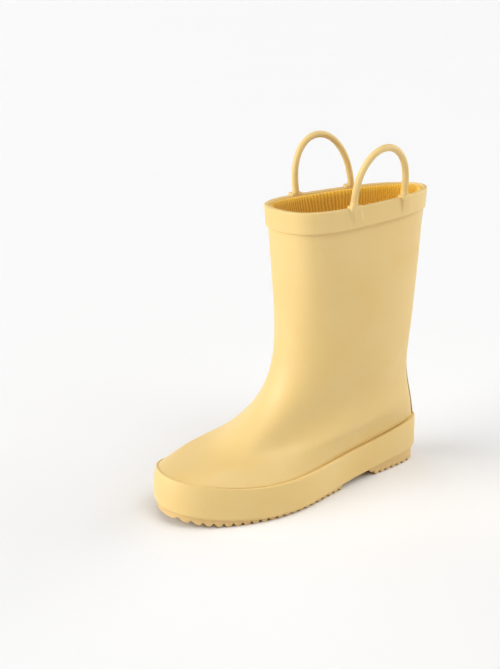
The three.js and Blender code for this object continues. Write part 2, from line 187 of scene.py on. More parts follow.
def height_line(heights):
    """A height along the sole, through even steps in millimetres from heel end (0) to toe end (1)."""
    controls = through(np.array(heights, float)[:, None] * MM, False)
    return lambda share: spline(controls, np.asarray(share) * (len(heights) - 1), False)[..., 0]


def smoothstep(low, high, x):
    t = np.clip((x - low) / (high - low), 0, 1)
    return t * t * (3 - 2 * t)


def unit(vectors):
    return vectors / np.linalg.norm(vectors, axis=-1, keepdims=True)


# ---- The last: the sole's outline and the wall that rises from it ----

foxing_low, foxing_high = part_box("foxing_band")
SOLE_LENGTH = foxing_high.y - foxing_low.y
SOLE_WIDTH = 69 * MM
SOLE_BACK = foxing_high.y
BOOT_HEIGHT = 182.5 * MM
RIM_SLOPE = 4.7 * MM
LEG_DEPTH = 110 * MM
LEG_WIDTH = 53 * MM
SHAFT_WIDTH = LEG_WIDTH + 2 * MM
CALF_WIDTH = LEG_WIDTH + 2.1 * MM
ANKLE_HEIGHT = 95 * MM
CORE = 2.0 * MM  # the outsole's sheet inside the foxing
GAP = 0.3 * MM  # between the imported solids' layers
WALL_INSET = 2.5 * MM  # from the foxing's outside to the upper's
LINING_OUT = -2.8 * MM  # the lining's outside, from the upper's
LINING_TOP_OUT = -1.58 * MM  # the same near the rim, where no patch lies between
TOP_LEAN = 0.4 * MM  # how much further in the upper stands at the foxing's top than at the sole
FOXING_LEVEL = 0.1  # the wall's level at the foxing's top edge
TURN_STEP = 0.002  # a short step along the outline
WALL_STEP = 0.003  # a short step up or round the wall
FINE_TURNS = 2400  # points round the outline where its extremes are sought
HALVINGS = 30  # of a range in which a place is sought

foxing_bottom = height_line([8.7, 5.2, 1.8, 2.1, 8.7])
foxing_top = height_line([31.7, 25.3, 22.8, 22.9, 30])


def share_at(y):
    """How far along the sole y is, from the heel end (0) to the toe end (1)."""
    return np.clip((SOLE_BACK - y) / SOLE_LENGTH, 0, 1)


# Along and across, as shares of half the length and width: heel back, outer side to the toe tip, inner side
OUTLINE = np.array([
    [1, -0.03], [0.857, 0.38], [0.39, 0.565], [-0.015, 0.83], [-0.425, 0.935], [-0.87, 0.515],
    [-1, -0.25], [-0.825, -0.95], [-0.42, -0.975], [0, -0.61], [0.38, -0.61], [0.82, -0.64],
])
POINTS_ROUND = len(OUTLINE)
outline_points = np.stack([OUTLINE[:, 1] * SOLE_WIDTH / 2, OUTLINE[:, 0] * SOLE_LENGTH / 2], -1)
outline_controls = through(outline_points, True)


def outline_at(turn, inset):
    """The outline at turn, from 0 at the heel's back past the outer side to 1, moved in by inset."""
    turn = np.asarray(turn, float)
    ahead = spline(outline_controls, (turn + TURN_STEP) * POINTS_ROUND, True)
    across = unit(ahead - spline(outline_controls, (turn - TURN_STEP) * POINTS_ROUND, True))
    inward = np.stack([across[..., 1], -across[..., 0]], -1)
    return spline(outline_controls, turn * POINTS_ROUND, True) + inward * np.asarray(inset)[..., None]


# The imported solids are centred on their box, so the outline moves across with the foxing
outline_shift = foxing_high.x - outline_at(np.linspace(0, 1, FINE_TURNS), 0.0)[:, 0].max()


def leg_height(share):
    return ANKLE_HEIGHT + share * (BOOT_HEIGHT - ANKLE_HEIGHT)


# Each ring: its back's inset and height, its reach forward, its front's height, its width,
# where it is widest from back to front, how far it still has the sole's outline,
# and how much of the outer side's slope it has
RINGS = [
    (4.4 * MM, 38 * MM, 0.886 * SOLE_LENGTH, 32 * MM, 1.03 * SOLE_WIDTH, 0.43, 0.92, 0.9),
    (7 * MM, 48 * MM, 0.758 * SOLE_LENGTH, 36.8 * MM, 1.035 * SOLE_WIDTH, 0.42, 0.75, 1.15),
    (10 * MM, 63 * MM, 0.652 * SOLE_LENGTH, 47.6 * MM, 0.856 * SOLE_WIDTH, 0.39, 0.5, 0.7),
    (11.2 * MM, 82 * MM, 0.56 * SOLE_LENGTH, 63.9 * MM, 0.81 * SOLE_WIDTH, 0.39, 0.25, 0.25),
    (9.7 * MM, leg_height(0.103), LEG_DEPTH - 10.8 * MM, leg_height(-0.093), SHAFT_WIDTH, 0.44, 0.09, 0),
    (6.8 * MM, leg_height(0.389), LEG_DEPTH - 9.2 * MM, leg_height(0.24), CALF_WIDTH, 0.53, 0.02, 0),
    (3.9 * MM, leg_height(0.686), LEG_DEPTH - 5.2 * MM, leg_height(0.593), CALF_WIDTH, 0.63, 0, 0),
    (1.1 * MM, BOOT_HEIGHT + RIM_SLOPE / 2, LEG_DEPTH, BOOT_HEIGHT - RIM_SLOPE / 2, LEG_WIDTH, 0.71, 0, 0),
]
# The forefoot slopes in on its outer side, at the waist, ball and toe, as shares of the sole's width
OUTER_SLOPE = np.array([0, 0, 0, 0.05, 0.16, 0.07, 0, 0, 0, 0, 0, 0])
OUTLINE_TO_EGG = 0.932  # brings the outline's sides to the width of an egg's


def ring_points(index, ring):
    """Twelve points of a ring, between the sole's outline and an egg that grows fuller towards the rim."""
    back_inset, back_height, reach, front_height, width, widest, foot, slope = ring
    fullness = min(max((index - 3) / 4, 0), 1)  # from the fourth ring to the eighth
    angle = 2 * np.pi * np.arange(POINTS_ROUND) / POINTS_ROUND
    c, q = np.round(np.cos(angle), 9), np.round(np.sin(angle), 9)
    # 2 / 2 would be an ellipse's; the front grows much fuller towards the rim than the back
    power = 2 / (2.1 + fullness * np.where(c > 0, 0.1, 0.55))
    along = np.abs(c) ** power
    egg_share = np.where(c > 0, widest * (1 - along), widest + (1 - widest) * along)
    egg_side = np.sign(q) * np.abs(q) ** power
    share = egg_share + foot * (0.5 - OUTLINE[:, 0] / 2 - egg_share)
    side = egg_side + foot * (OUTLINE_TO_EGG * OUTLINE[:, 1] - egg_side)
    height = back_height + (front_height - back_height) * share
    across = side * width / 2 - slope * OUTER_SLOPE * SOLE_WIDTH + outline_shift
    return np.stack([across, SOLE_BACK - back_inset - share * reach, height], -1)


def ring_in_foxing(rise, line, lean):
    """Twelve points of a ring inside the foxing, at a rise over a height line, leaning in."""
    flat = outline_at(np.arange(POINTS_ROUND) / POINTS_ROUND, WALL_INSET + lean)
    return np.stack([flat[:, 0] + outline_shift, flat[:, 1], line(share_at(flat[:, 1])) + rise], -1)


foot_ring = through(ring_in_foxing(CORE + GAP, foxing_bottom, 0), True)
wall_rings = [ring_in_foxing(0, foxing_top, TOP_LEAN)]
wall_rings += [ring_points(index, ring) for index, ring in enumerate(RINGS)]
wall_net = through(np.stack([through(ring, True) for ring in wall_rings]).reshape(len(wall_rings), -1), False)


def wall_surface(level, turn):
    """The upper's outside at a level, 0 at the sole to 1 at the rim."""
    level, turn = np.broadcast_arrays(np.asarray(level, float), np.asarray(turn, float))
    rise = np.maximum((level - FOXING_LEVEL) / (1 - FOXING_LEVEL), 0) * (len(wall_rings) - 1)
    ring = spline(wall_net, rise, False).reshape(level.shape + (POINTS_ROUND, 3))
    place = turn * POINTS_ROUND
    span = np.floor(place).astype(int)
    weights = span_weights(place - span)
    index = (span[..., None] + np.arange(-1, 3)) % POINTS_ROUND
    above = np.einsum("...k,...kd->...d", weights, np.take_along_axis(ring, index[..., None], -2))
    foot = spline(foot_ring, place, True)
    return foot + (above - foot) * np.clip(level / FOXING_LEVEL, 0, 1)[..., None]


def wall_normal(low, high, turn):
    """The wall's outward direction between two levels."""
    up = wall_surface(high, turn) - wall_surface(low, turn)
    middle = (low + high) / 2
    return unit(np.cross(up, wall_surface(middle, turn + WALL_STEP) - wall_surface(middle, turn - WALL_STEP)))


def wall_point(level, turn, out, rise=0.0):
    """The wall moved out by out and up by rise; a layer stays as thick across the foxing's crease."""
    level, turn, out, rise = np.broadcast_arrays(*(np.asarray(x, float) for x in (level, turn, out, rise)))
    under = wall_normal(np.maximum(level - WALL_STEP, 0), np.maximum(level, WALL_STEP), turn)
    over = wall_normal(np.minimum(level, 1 - WALL_STEP), np.minimum(level + WALL_STEP, 1), turn)
    mitre = (under + over) / (1 + np.sum(under * over, -1, keepdims=True))
    point = wall_surface(level, turn) + mitre * out[..., None]
    point[..., 2] += rise
    return point


def found(low, high, test):
    """Where test turns false between low and high, by halving."""
    for _ in range(HALVINGS):
        middle = (low + high) / 2
        if test(middle):
            low = middle
        else:
            high = middle
    return low


rim_back = wall_surface(1, 0)


def level_below_rim(distance):
    """The level whose back stands a distance below the rim's back."""
    return found(FOXING_LEVEL, 1.0, lambda level: wall_surface(level, 0)[2] < rim_back[2] - distance)


def rim_turn(side, y):
    """Where on a side of the rim the wall has a given y."""
    return found(0.0 if side > 0 else 1.0, 0.5, lambda turn: wall_surface(1, turn)[1] > y)


def turn_for(distance, level, turn):
    """How far round, as a change of turn, a length is along a level."""
    chord = np.linalg.norm(wall_surface(level, turn + 0.005) - wall_surface(level, turn - 0.005))
    return 0.01 * distance / chord


# Each loop: its side, how far ahead of the rim's back its roots stand, its height over the rim,
# and its top's lean out and rake forward
LOOPS = {
    "outer": (1, (74.4 * MM, 33.1 * MM), 33.6 * MM, 11 * MM, 5.8 * MM),
    "inner": (-1, (77.3 * MM, 36.9 * MM), 34.8 * MM, 2.5 * MM, 3.2 * MM),
}
root_turns = {
    name: [rim_turn(side, rim_back[1] - ahead) for ahead in roots]
    for name, (side, roots, *_) in LOOPS.items()
}

# ---- Meshes and objects ----


def signed_volume(mesh):
    """The mesh's volume, which is negative where its faces point in."""
    mesh.calc_loop_triangles()
    corners = np.zeros(len(mesh.loop_triangles) * 3, np.int32)
    mesh.loop_triangles.foreach_get("vertices", corners)
    points = np.zeros(len(mesh.vertices) * 3)
    mesh.vertices.foreach_get("co", points)
    a, b, c = points.reshape(-1, 3)[corners.reshape(-1, 3)].transpose(1, 0, 2)
    return float((a * np.cross(b, c)).sum() / 6)


def loft(name, rows, round_trip, uv=None):
    """A closed skin over rows of points, with its faces outwards. Each row is a closed loop;
    on a round trip the last row meets the first, and otherwise both ends are capped."""
    rows = np.asarray(rows, float)
    count, size = rows.shape[:2]
    i, j = np.arange(count if round_trip else count - 1)[:, None], np.arange(size)[None, :]
    ahead, beside = (i + 1) % count, (j + 1) % size
    corners = i * size + j, ahead * size + j, ahead * size + beside, i * size + beside
    quads = np.stack(np.broadcast_arrays(*corners), -1)
    faces = quads.reshape(-1, 4).tolist()
    if not round_trip:
        faces += [list(range(size))[::-1], list(range((count - 1) * size, count * size))]
    mesh = bpy.data.meshes.new(name)
    mesh.from_pydata(rows.reshape(-1, 3).tolist(), [], faces)
    if uv is not None:
        corners = np.stack([uv[:-1, :-1], uv[1:, :-1], uv[1:, 1:], uv[:-1, 1:]], 2)
        mesh.uv_layers.new(name="cloth").data.foreach_set("uv", corners.astype(np.float32).ravel())
    if signed_volume(mesh) < 0:
        mesh.flip_normals()
    mesh.update()
    return mesh


def new_piece(name, mesh, material, body, replaces=(), sharp=35):
    """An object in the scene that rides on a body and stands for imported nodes."""
    piece = bpy.data.objects.new(name, mesh)
    bpy.context.scene.collection.objects.link(piece)
    finish_piece(piece, material, sharp)
    if body:
        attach(piece, body)
    if replaces:
        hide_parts(*replaces)
    return piece


def finish_piece(piece, material, sharp):
    """Gives the piece its one material, smooth but for edges of more than sharp degrees."""
    piece.data.materials.clear()
    piece.data.materials.append(material)
    piece.data.shade_smooth()
    piece.data.set_sharp_from_angle(angle=math.radians(sharp))


def make_plain(piece):
    """Puts what the piece's modifiers make into its mesh, and removes them."""
    graph = bpy.context.evaluated_depsgraph_get()
    made = bpy.data.meshes.new_from_object(
        piece.evaluated_get(graph), preserve_all_data_layers=True, depsgraph=graph
    )
    piece.modifiers.clear()
    piece.data = made


def add(tree, kind, inputs=None, **settings):
    """Adds a node with its settings, and sets its inputs or links them, by name or number.
    A node given as an input stands for its first output in use."""
    node = tree.nodes.new(kind)
    for name, value in settings.items():
        setattr(node, name, value)
    for key, value in (inputs or {}).items():
        if isinstance(value, bpy.types.Node):
            value = next(output for output in value.outputs if output.enabled)
        if isinstance(value, bpy.types.NodeSocket):
            tree.links.new(value, node.inputs[key])
        else:
            node.inputs[key].default_value = value
    return node


# ---- Ribs: a Geometry Nodes tree that sinks furrows into a surface at an even pitch ----

RIB_INPUTS = [
    ("Pitch", "NodeSocketFloat", 5.4 * MM),
    ("Mouth", "NodeSocketFloat", 2.4 * MM),
    ("Root", "NodeSocketFloat", 0.8 * MM),
    ("Depth", "NodeSocketFloat", 1.8 * MM),
    ("Unevenness", "NodeSocketFloat", 0.0),
    ("Seed", "NodeSocketInt", 0),
    ("Material", "NodeSocketMaterial", None),
]


def furrow_tree():
    """Every point moves along its own "sink" vector, by the furrow's depth at its "station"."""
    tree = bpy.data.node_groups.new("Even furrows", "GeometryNodeTree")
    tree.interface.new_socket("Geometry", in_out="OUTPUT", socket_type="NodeSocketGeometry")
    tree.interface.new_socket("Geometry", in_out="INPUT", socket_type="NodeSocketGeometry")
    for name, kind, value in RIB_INPUTS:
        socket = tree.interface.new_socket(name, in_out="INPUT", socket_type=kind)
        if value is not None:
            socket.default_value = value
    given = add(tree, "NodeGroupInput").outputs
    station = add(tree, "GeometryNodeInputNamedAttribute", {"Name": "station"}, data_type="FLOAT")
    sink = add(tree, "GeometryNodeInputNamedAttribute", {"Name": "sink"}, data_type="FLOAT_VECTOR")
    furrows = add(tree, "ShaderNodeMath", {0: station, 1: given["Pitch"]}, operation="DIVIDE")
    nearest = add(tree, "ShaderNodeMath", {0: furrows}, operation="ROUND")
    away = add(tree, "ShaderNodeMath", {0: furrows, 1: nearest}, operation="SUBTRACT")
    away = add(tree, "ShaderNodeMath", {0: away}, operation="ABSOLUTE")
    away = add(tree, "ShaderNodeMath", {0: away, 1: given["Pitch"]}, operation="MULTIPLY")
    half_root = add(tree, "ShaderNodeMath", {0: given["Root"], 1: 0.5}, operation="MULTIPLY")
    half_mouth = add(tree, "ShaderNodeMath", {0: given["Mouth"], 1: 0.5}, operation="MULTIPLY")
    span = {"Value": away, "From Min": half_root, "From Max": half_mouth, "To Min": 1.0, "To Max": 0.0}
    furrow = add(tree, "ShaderNodeMapRange", span, interpolation_type="SMOOTHSTEP")
    least = add(tree, "ShaderNodeMath", {0: 1.0, 1: given["Unevenness"]}, operation="SUBTRACT")
    chance = {2: least, 3: 1.0, "ID": nearest, "Seed": given["Seed"]}
    share = add(tree, "FunctionNodeRandomValue", chance, data_type="FLOAT")
    depth = add(tree, "ShaderNodeMath", {0: furrow, 1: given["Depth"]}, operation="MULTIPLY")
    depth = add(tree, "ShaderNodeMath", {0: depth, 1: share}, operation="MULTIPLY")
    offset = add(tree, "ShaderNodeVectorMath", {0: sink, "Scale": depth}, operation="SCALE")
    moved = add(tree, "GeometryNodeSetPosition", {"Geometry": given["Geometry"], "Offset": offset})
    real = add(tree, "GeometryNodeRealizeInstances", {"Geometry": moved})
    painted = add(tree, "GeometryNodeSetMaterial", {"Geometry": real, "Material": given["Material"]})
    add(tree, "NodeGroupOutput", {"Geometry": painted})
    return tree


def sink_furrows(name, mesh, station, sink, values):
    """The mesh with furrows, as a plain mesh. station and sink have one entry for each point."""
    layer = mesh.attributes.new("station", "FLOAT", "POINT")
    layer.data.foreach_set("value", station.astype(np.float32).ravel())
    layer = mesh.attributes.new("sink", "FLOAT_VECTOR", "POINT")
    layer.data.foreach_set("vector", sink.astype(np.float32).ravel())
    piece = bpy.data.objects.new(name, mesh)
    bpy.context.scene.collection.objects.link(piece)
    tree = bpy.data.node_groups.get("Even furrows") or furrow_tree()
    modifier = piece.modifiers.new("Furrows", "NODES")
    modifier.node_group = tree
    for item in tree.interface.items_tree:
        if item.in_out == "INPUT" and item.name in values:
            modifier[item.identifier] = values[item.name]
    make_plain(piece)
    made = piece.data
    bpy.data.objects.remove(piece)
    return made


# ---- Materials ----


def new_material(name):
    """(material, its emptied tree, the place in the piece that its textures hang on)."""
    material = bpy.data.materials.new(name)
    material.use_nodes = True
    tree = material.node_tree
    tree.nodes.clear()
    return material, tree, add(tree, "ShaderNodeTexCoord").outputs["Object"]


def darker(tone, share):
    """A share of a colour."""
    return [c * share for c in tone]


def moulded_rubber(name, base, deep, roughness, grain_strength, cement=None):
    """Compression-moulded natural rubber: satin rather than glossy, with a faint cloud of pigment a few
    centimetres across and the fine even grain of a blasted mould, which breaks up its highlights.
    Given a colour for it, a thin brown line of painted shade runs along a strip's marked edges, where its
    side walls stand in shade."""
    material, tree, place = new_material(name)
    cloud = add(tree, "ShaderNodeTexNoise", {"Vector": place, "Scale": 1 / (38 * MM), "Detail": 2.0})
    cloud = add(tree, "ShaderNodeMapRange", {0: cloud, 1: 0.35, 2: 0.7, 3: 0.0, 4: 1.0})
    speck = add(tree, "ShaderNodeTexNoise", {"Vector": place, "Scale": 1 / (2.2 * MM), "Detail": 3.0})
    speck = add(tree, "ShaderNodeMapRange", {0: speck, 1: 0.3, 2: 0.75, 3: 0.0, 4: 0.35})
    tone = add(tree, "ShaderNodeMath", {0: cloud, 1: speck}, operation="ADD")
    tone = add(tree, "ShaderNodeMath", {0: tone, 1: 0.5}, operation="MULTIPLY")
    tint = add(tree, "ShaderNodeMix", {0: tone, 6: (*base, 1), 7: (*deep, 1)}, data_type="RGBA").outputs[2]
    # Painted shade: a thin brown line where the piece marks its edges
    if cement:
        line = add(tree, "ShaderNodeAttribute", attribute_name="cement").outputs["Fac"]
        tint = add(tree, "ShaderNodeMix", {0: line, 6: tint, 7: (*cement, 1)}, data_type="RGBA").outputs[2]
    span = {0: cloud, 1: 0.0, 2: 1.0, 3: roughness - 0.04, 4: roughness + 0.05}
    rough = add(tree, "ShaderNodeMapRange", span)
    grain = add(tree, "ShaderNodeTexNoise", {"Vector": place, "Scale": 1 / (0.9 * MM), "Detail": 4.0})
    relief = {"Height": grain, "Strength": grain_strength, "Distance": 0.05 * MM}
    relief = add(tree, "ShaderNodeBump", relief)
    looks = {"Base Color": tint, "Roughness": rough, "Normal": relief, "IOR": 1.52}
    shader = add(tree, "ShaderNodeBsdfPrincipled", looks)
    add(tree, "ShaderNodeOutputMaterial", {"Surface": shader})
    return material


def brushed_knit(name, ridge, furrow, across, course, seed):
    """Brushed cotton knit: ribs of V-shaped stitches run up the cloth, with a soft nap that lifts its edges.
    Its stitches are drawn about twice as coarse as real ones, so that they show. Its colour is painted: a
    shaded tone low in the furrows and a lit tone high on the ridges."""
    material, tree, place = new_material(name)
    uv = add(tree, "ShaderNodeUVMap", uv_map="cloth")
    along, up, _ = add(tree, "ShaderNodeSeparateXYZ", {0: uv}).outputs
    wander = add(tree, "ShaderNodeTexNoise", {"Vector": place, "Scale": 1 / (9 * MM), "Detail": 1.0})
    wander = add(tree, "ShaderNodeMapRange", {0: wander, 1: 0.0, 2: 1.0, 3: -0.45, 4: 0.45})
    wale = add(tree, "ShaderNodeMath", {0: along, 1: across}, operation="DIVIDE")
    wale = add(tree, "ShaderNodeMath", {0: wale, 1: wander}, operation="ADD")
    rib = add(tree, "ShaderNodeMath", {0: wale, 1: 0.5}, operation="PINGPONG")
    span = {0: rib, 1: 0.0, 2: 0.5, 3: 0.0, 4: 1.0}
    rib = add(tree, "ShaderNodeMapRange", span, interpolation_type="SMOOTHSTEP")
    row = add(tree, "ShaderNodeMath", {0: up, 1: course}, operation="DIVIDE")
    row = add(tree, "ShaderNodeMath", {0: rib, 1: 0.55, 2: row}, operation="MULTIPLY_ADD")
    row = add(tree, "ShaderNodeMath", {0: row, 1: 0.5}, operation="PINGPONG")
    nap = {"Vector": place, "W": float(seed), "Scale": 1 / (0.8 * MM), "Detail": 3.0}
    nap = add(tree, "ShaderNodeTexNoise", nap, noise_dimensions="4D")
    nap = add(tree, "ShaderNodeMapRange", {0: nap, 1: 0.0, 2: 1.0, 3: -0.45, 4: 0.45})
    height = add(tree, "ShaderNodeMath", {0: rib, 1: 0.62, 2: nap}, operation="MULTIPLY_ADD")
    height = add(tree, "ShaderNodeMath", {0: row, 1: 0.56, 2: height}, operation="MULTIPLY_ADD")
    # Painted shade and light: the yarn runs from the shaded tone where the knit lies low to the lit tone
    # where it stands high, with the nap's random tone on top
    lit = add(tree, "ShaderNodeMapRange", {0: height, 1: 0.0, 2: 0.85, 3: 0.0, 4: 1.0})
    tint = add(tree, "ShaderNodeMix", {0: lit, 6: (*furrow, 1), 7: (*ridge, 1)}, data_type="RGBA").outputs[2]
    relief = add(tree, "ShaderNodeBump", {"Height": height, "Strength": 0.7, "Distance": 0.5 * MM})
    looks = {"Base Color": tint, "Roughness": 0.95, "Normal": relief, "Specular IOR Level": 0.2}
    looks |= {"Sheen Weight": 0.25, "Sheen Roughness": 0.5}
    shader = add(tree, "ShaderNodeBsdfPrincipled", looks)
    add(tree, "ShaderNodeOutputMaterial", {"Surface": shader})
    return material


def cellular_foam(name, base):
    """Cut ethylene-vinyl foam: tiny open cells where the skin was sliced, so it is quite matte."""
    material, tree, place = new_material(name)
    cells = add(tree, "ShaderNodeTexVoronoi", {"Vector": place, "Scale": 1 / (0.7 * MM)})
    shade = add(tree, "ShaderNodeMapRange", {0: cells, 1: 0.1, 2: 0.7, 3: 0.0, 4: 0.5})
    tones = {0: shade, 6: (*base, 1), 7: (*darker(base, 0.8), 1)}
    tint = add(tree, "ShaderNodeMix", tones, data_type="RGBA").outputs[2]
    relief = add(tree, "ShaderNodeBump", {"Height": cells, "Strength": 0.4, "Distance": 0.15 * MM})
    looks = {"Base Color": tint, "Roughness": 0.9, "Normal": relief}
    shader = add(tree, "ShaderNodeBsdfPrincipled", looks)
    add(tree, "ShaderNodeOutputMaterial", {"Surface": shader})
    return material


def pressed_fibre(name, base):
    """Pressed cellulose board: short tangled fibres in two browns under a dull face."""
    material, tree, place = new_material(name)
    drawn_out = add(tree, "ShaderNodeMapping", {"Vector": place, "Scale": (1.0, 0.35, 1.0)})
    fibre = add(tree, "ShaderNodeTexNoise", {"Vector": drawn_out, "Scale": 1 / (0.9 * MM), "Detail": 5.0})
    shade = add(tree, "ShaderNodeMapRange", {0: fibre, 1: 0.35, 2: 0.65, 3: 0.0, 4: 1.0})
    tones = {0: shade, 6: (*base, 1), 7: (*darker(base, 0.6), 1)}
    tint = add(tree, "ShaderNodeMix", tones, data_type="RGBA").outputs[2]
    relief = add(tree, "ShaderNodeBump", {"Height": fibre, "Strength": 0.4, "Distance": 0.1 * MM})
    looks = {"Base Color": tint, "Roughness": 0.88, "Normal": relief}
    shader = add(tree, "ShaderNodeBsdfPrincipled", looks)
    add(tree, "ShaderNodeOutputMaterial", {"Surface": shader})
    return material


def rubberised_canvas(name, base):
    """Plain-weave canvas coated with rubber: its threads, 0.9 mm apart, still show as a fine square grid."""
    material, tree, place = new_material(name)
    bands = 2 * math.pi / 20 / (0.9 * MM)  # a Wave Texture has 20 bands in each 2 pi of its scaled place
    warp = add(tree, "ShaderNodeTexWave", {"Vector": place, "Scale": bands}, bands_direction="Y")
    weft = add(tree, "ShaderNodeTexWave", {"Vector": place, "Scale": bands}, bands_direction="Z")
    weave = add(tree, "ShaderNodeMath", {0: warp.outputs[1], 1: weft.outputs[1]}, operation="MULTIPLY")
    tones = {0: weave, 6: (*darker(base, 0.75), 1), 7: (*base, 1)}
    tint = add(tree, "ShaderNodeMix", tones, data_type="RGBA").outputs[2]
    relief = add(tree, "ShaderNodeBump", {"Height": weave, "Strength": 0.4, "Distance": 0.12 * MM})
    looks = {"Base Color": tint, "Roughness": 0.8, "Normal": relief}
    shader = add(tree, "ShaderNodeBsdfPrincipled", looks)
    add(tree, "ShaderNodeOutputMaterial", {"Surface": shader})
    return material


def painted_floor(name, base):
    """Matte emulsion on a smooth sweep: nearly even, with the faintest roller cloud."""
    material, tree, place = new_material(name)
    cloud = add(tree, "ShaderNodeTexNoise", {"Vector": place, "Scale": 3.0, "Detail": 1.0})
    shade = add(tree, "ShaderNodeMapRange", {0: cloud, 1: 0.3, 2: 0.7, 3: 0.0, 4: 1.0})
    tones = {0: shade, 6: (*base, 1), 7: (*darker(base, 0.995), 1)}
    tint = add(tree, "ShaderNodeMix", tones, data_type="RGBA").outputs[2]
    looks = {"Base Color": tint, "Roughness": 0.9, "Specular IOR Level": 0.1}
    shader = add(tree, "ShaderNodeBsdfPrincipled", looks)
    add(tree, "ShaderNodeOutputMaterial", {"Surface": shader})
    return material


def finish(name):
    """The scene's material of that name, made when it is first asked for."""
    if name in bpy.data.materials:
        return bpy.data.materials[name]
    tints = bpy.context.scene.boot_colours
    lining = bpy.context.scene.boot_lining
    rubber = tints.rubber, tints.rubber_deep
    yarn = tints.knit_lit_ridge, tints.knit_shaded_furrow
    wale = leg_girth() / lining.wale_count
    recipes = {
        "Satin moulded rubber": (moulded_rubber, *rubber, 0.5, 0.35),
        "Cemented stay rubber": (moulded_rubber, *rubber, 0.5, 0.35, tints.cement),
        "Moulded foxing rubber": (moulded_rubber, *rubber, 0.47, 0.3),
        "Ribbed tread rubber": (moulded_rubber, tints.tread, darker(tints.tread, 0.86), 0.6, 0.6),
        "Brushed cotton knit": (brushed_knit, *yarn, wale, lining.course, lining.seed),
        "Cut foam": (cellular_foam, tints.foam),
        "Pressed fibre board": (pressed_fibre, tints.board),
        "Rubberised canvas": (rubberised_canvas, tints.canvas),
        "Matte studio paint": (painted_floor, tints.floor),
    }
    maker, *values = recipes[name]
    return maker(name, *values)


# ---- The upper and what is laid over it ----


# The ankle patches: the turns of their middles, their half width, and their lowest and highest level
PATCH_MIDDLES = (0.25, 0.75)
PATCH_HALF = 5 / 48
PATCH_LOW, PATCH_HIGH = 0.36, 0.6
PATCH_POINT = 0.1  # how much higher their bottom edge lies at its ends than at its point
PATCH_EDGE = 0.012  # how softly their edges print
# The heel counter and the toe puff: the turn of the middle and the top level of each, and their half width
STIFFENERS = ((0.0, 0.333), (0.5, 0.267))
STIFFENER_HALF = 8 / 48


def upper_relief(level, turn):
    """How far the rubber is lifted, as a share, where the patches and stiffeners under it print through."""
    lift = np.zeros(np.broadcast(level, turn).shape)
    for middle in PATCH_MIDDLES:
        away = np.abs(turn - middle) / PATCH_HALF
        below = smoothstep(0, PATCH_EDGE, level - PATCH_LOW - PATCH_POINT * away)
        above = smoothstep(0, PATCH_EDGE, PATCH_HIGH - level)
        lift = np.maximum(lift, below * above * smoothstep(0, 0.06, 1 - away))
    for middle, top in STIFFENERS:
        away = np.abs(turn - middle - np.round(turn - middle)) / STIFFENER_HALF
        lift = np.maximum(lift, 0.5 * smoothstep(0, 0.05, top - level) * smoothstep(0, 0.2, 1 - away))
    return lift


def hand_waver(points):
    """A slow unevenness of the rubber, from -1 to 1, some centimetres from wave to wave."""
    x, y, z = (points / MM).T
    waves = [(0.4, x / 9.1 + z / 17 + 0.7), (0.35, y / 12.3 - z / 14.2 + 2.1), (0.25, z / 7.9 + y / 23 + 4)]
    return sum(share * np.sin(wave) for share, wave in waves).T


class BOOT_OT_upper(bpy.types.Operator):
    """Builds the one-piece rubber upper, with the patches and stiffeners under it printing through"""

    bl_idname = "boot.upper"
    bl_label = "Upper"

    def execute(self, context):
        size = context.scene.boot_upper
        turns = np.linspace(0, 1, 240, endpoint=False)[:, None]
        outside = np.concatenate([[0.02, 0.06, 0.09], np.linspace(FOXING_LEVEL, 1, 170)])[None, :]
        inside = np.linspace(1, 0.02, 46)[None, :]
        waver = hand_waver(wall_point(outside, turns, 0.0)) * 0.1 * MM
        lift = upper_relief(outside, turns) * size.print_through + waver
        # Nothing is lifted under the foxing or at the rim
        over_foxing = smoothstep(FOXING_LEVEL, FOXING_LEVEL + 0.03, outside)
        over_foxing = over_foxing * smoothstep(0, 0.05, 1 - outside)
        rim_drop = -0.2 * MM  # the rim lies a little inside the collar that rolls over it
        outer = wall_point(outside, turns, lift * over_foxing, np.where(outside >= 1, rim_drop, 0.0))
        inner = wall_point(inside, turns, -size.wall, np.where(inside >= 1, rim_drop, 0.0))
        mesh = loft("upper_shell", np.concatenate([outer, inner], 1), True)
        new_piece("upper_shell", mesh, finish("Satin moulded rubber"), "boot", ["upper"])
        return {"FINISHED"}


def tab_bump(level, turn):
    """How far the collar is lifted over the loops' tabs, from 0 to 1; it fades towards the collar's edge."""
    size = bpy.context.scene.boot_upper
    below = (rim_back[2] - wall_surface(level, 0)[..., 2]) / MM
    bump = np.zeros(np.broadcast(level, turn).shape)
    for turns in root_turns.values():
        for place in turns:
            away = np.abs(turn - place - np.round(turn - place))
            half = turn_for(size.tab_width / 2, 1, place)
            soft = turn_for(0.5 * MM, 1, place)
            bump = np.maximum(bump, 1 - smoothstep(half - soft, half + soft, away))
    return bump * (1 - smoothstep(2.5, 10.5, below))


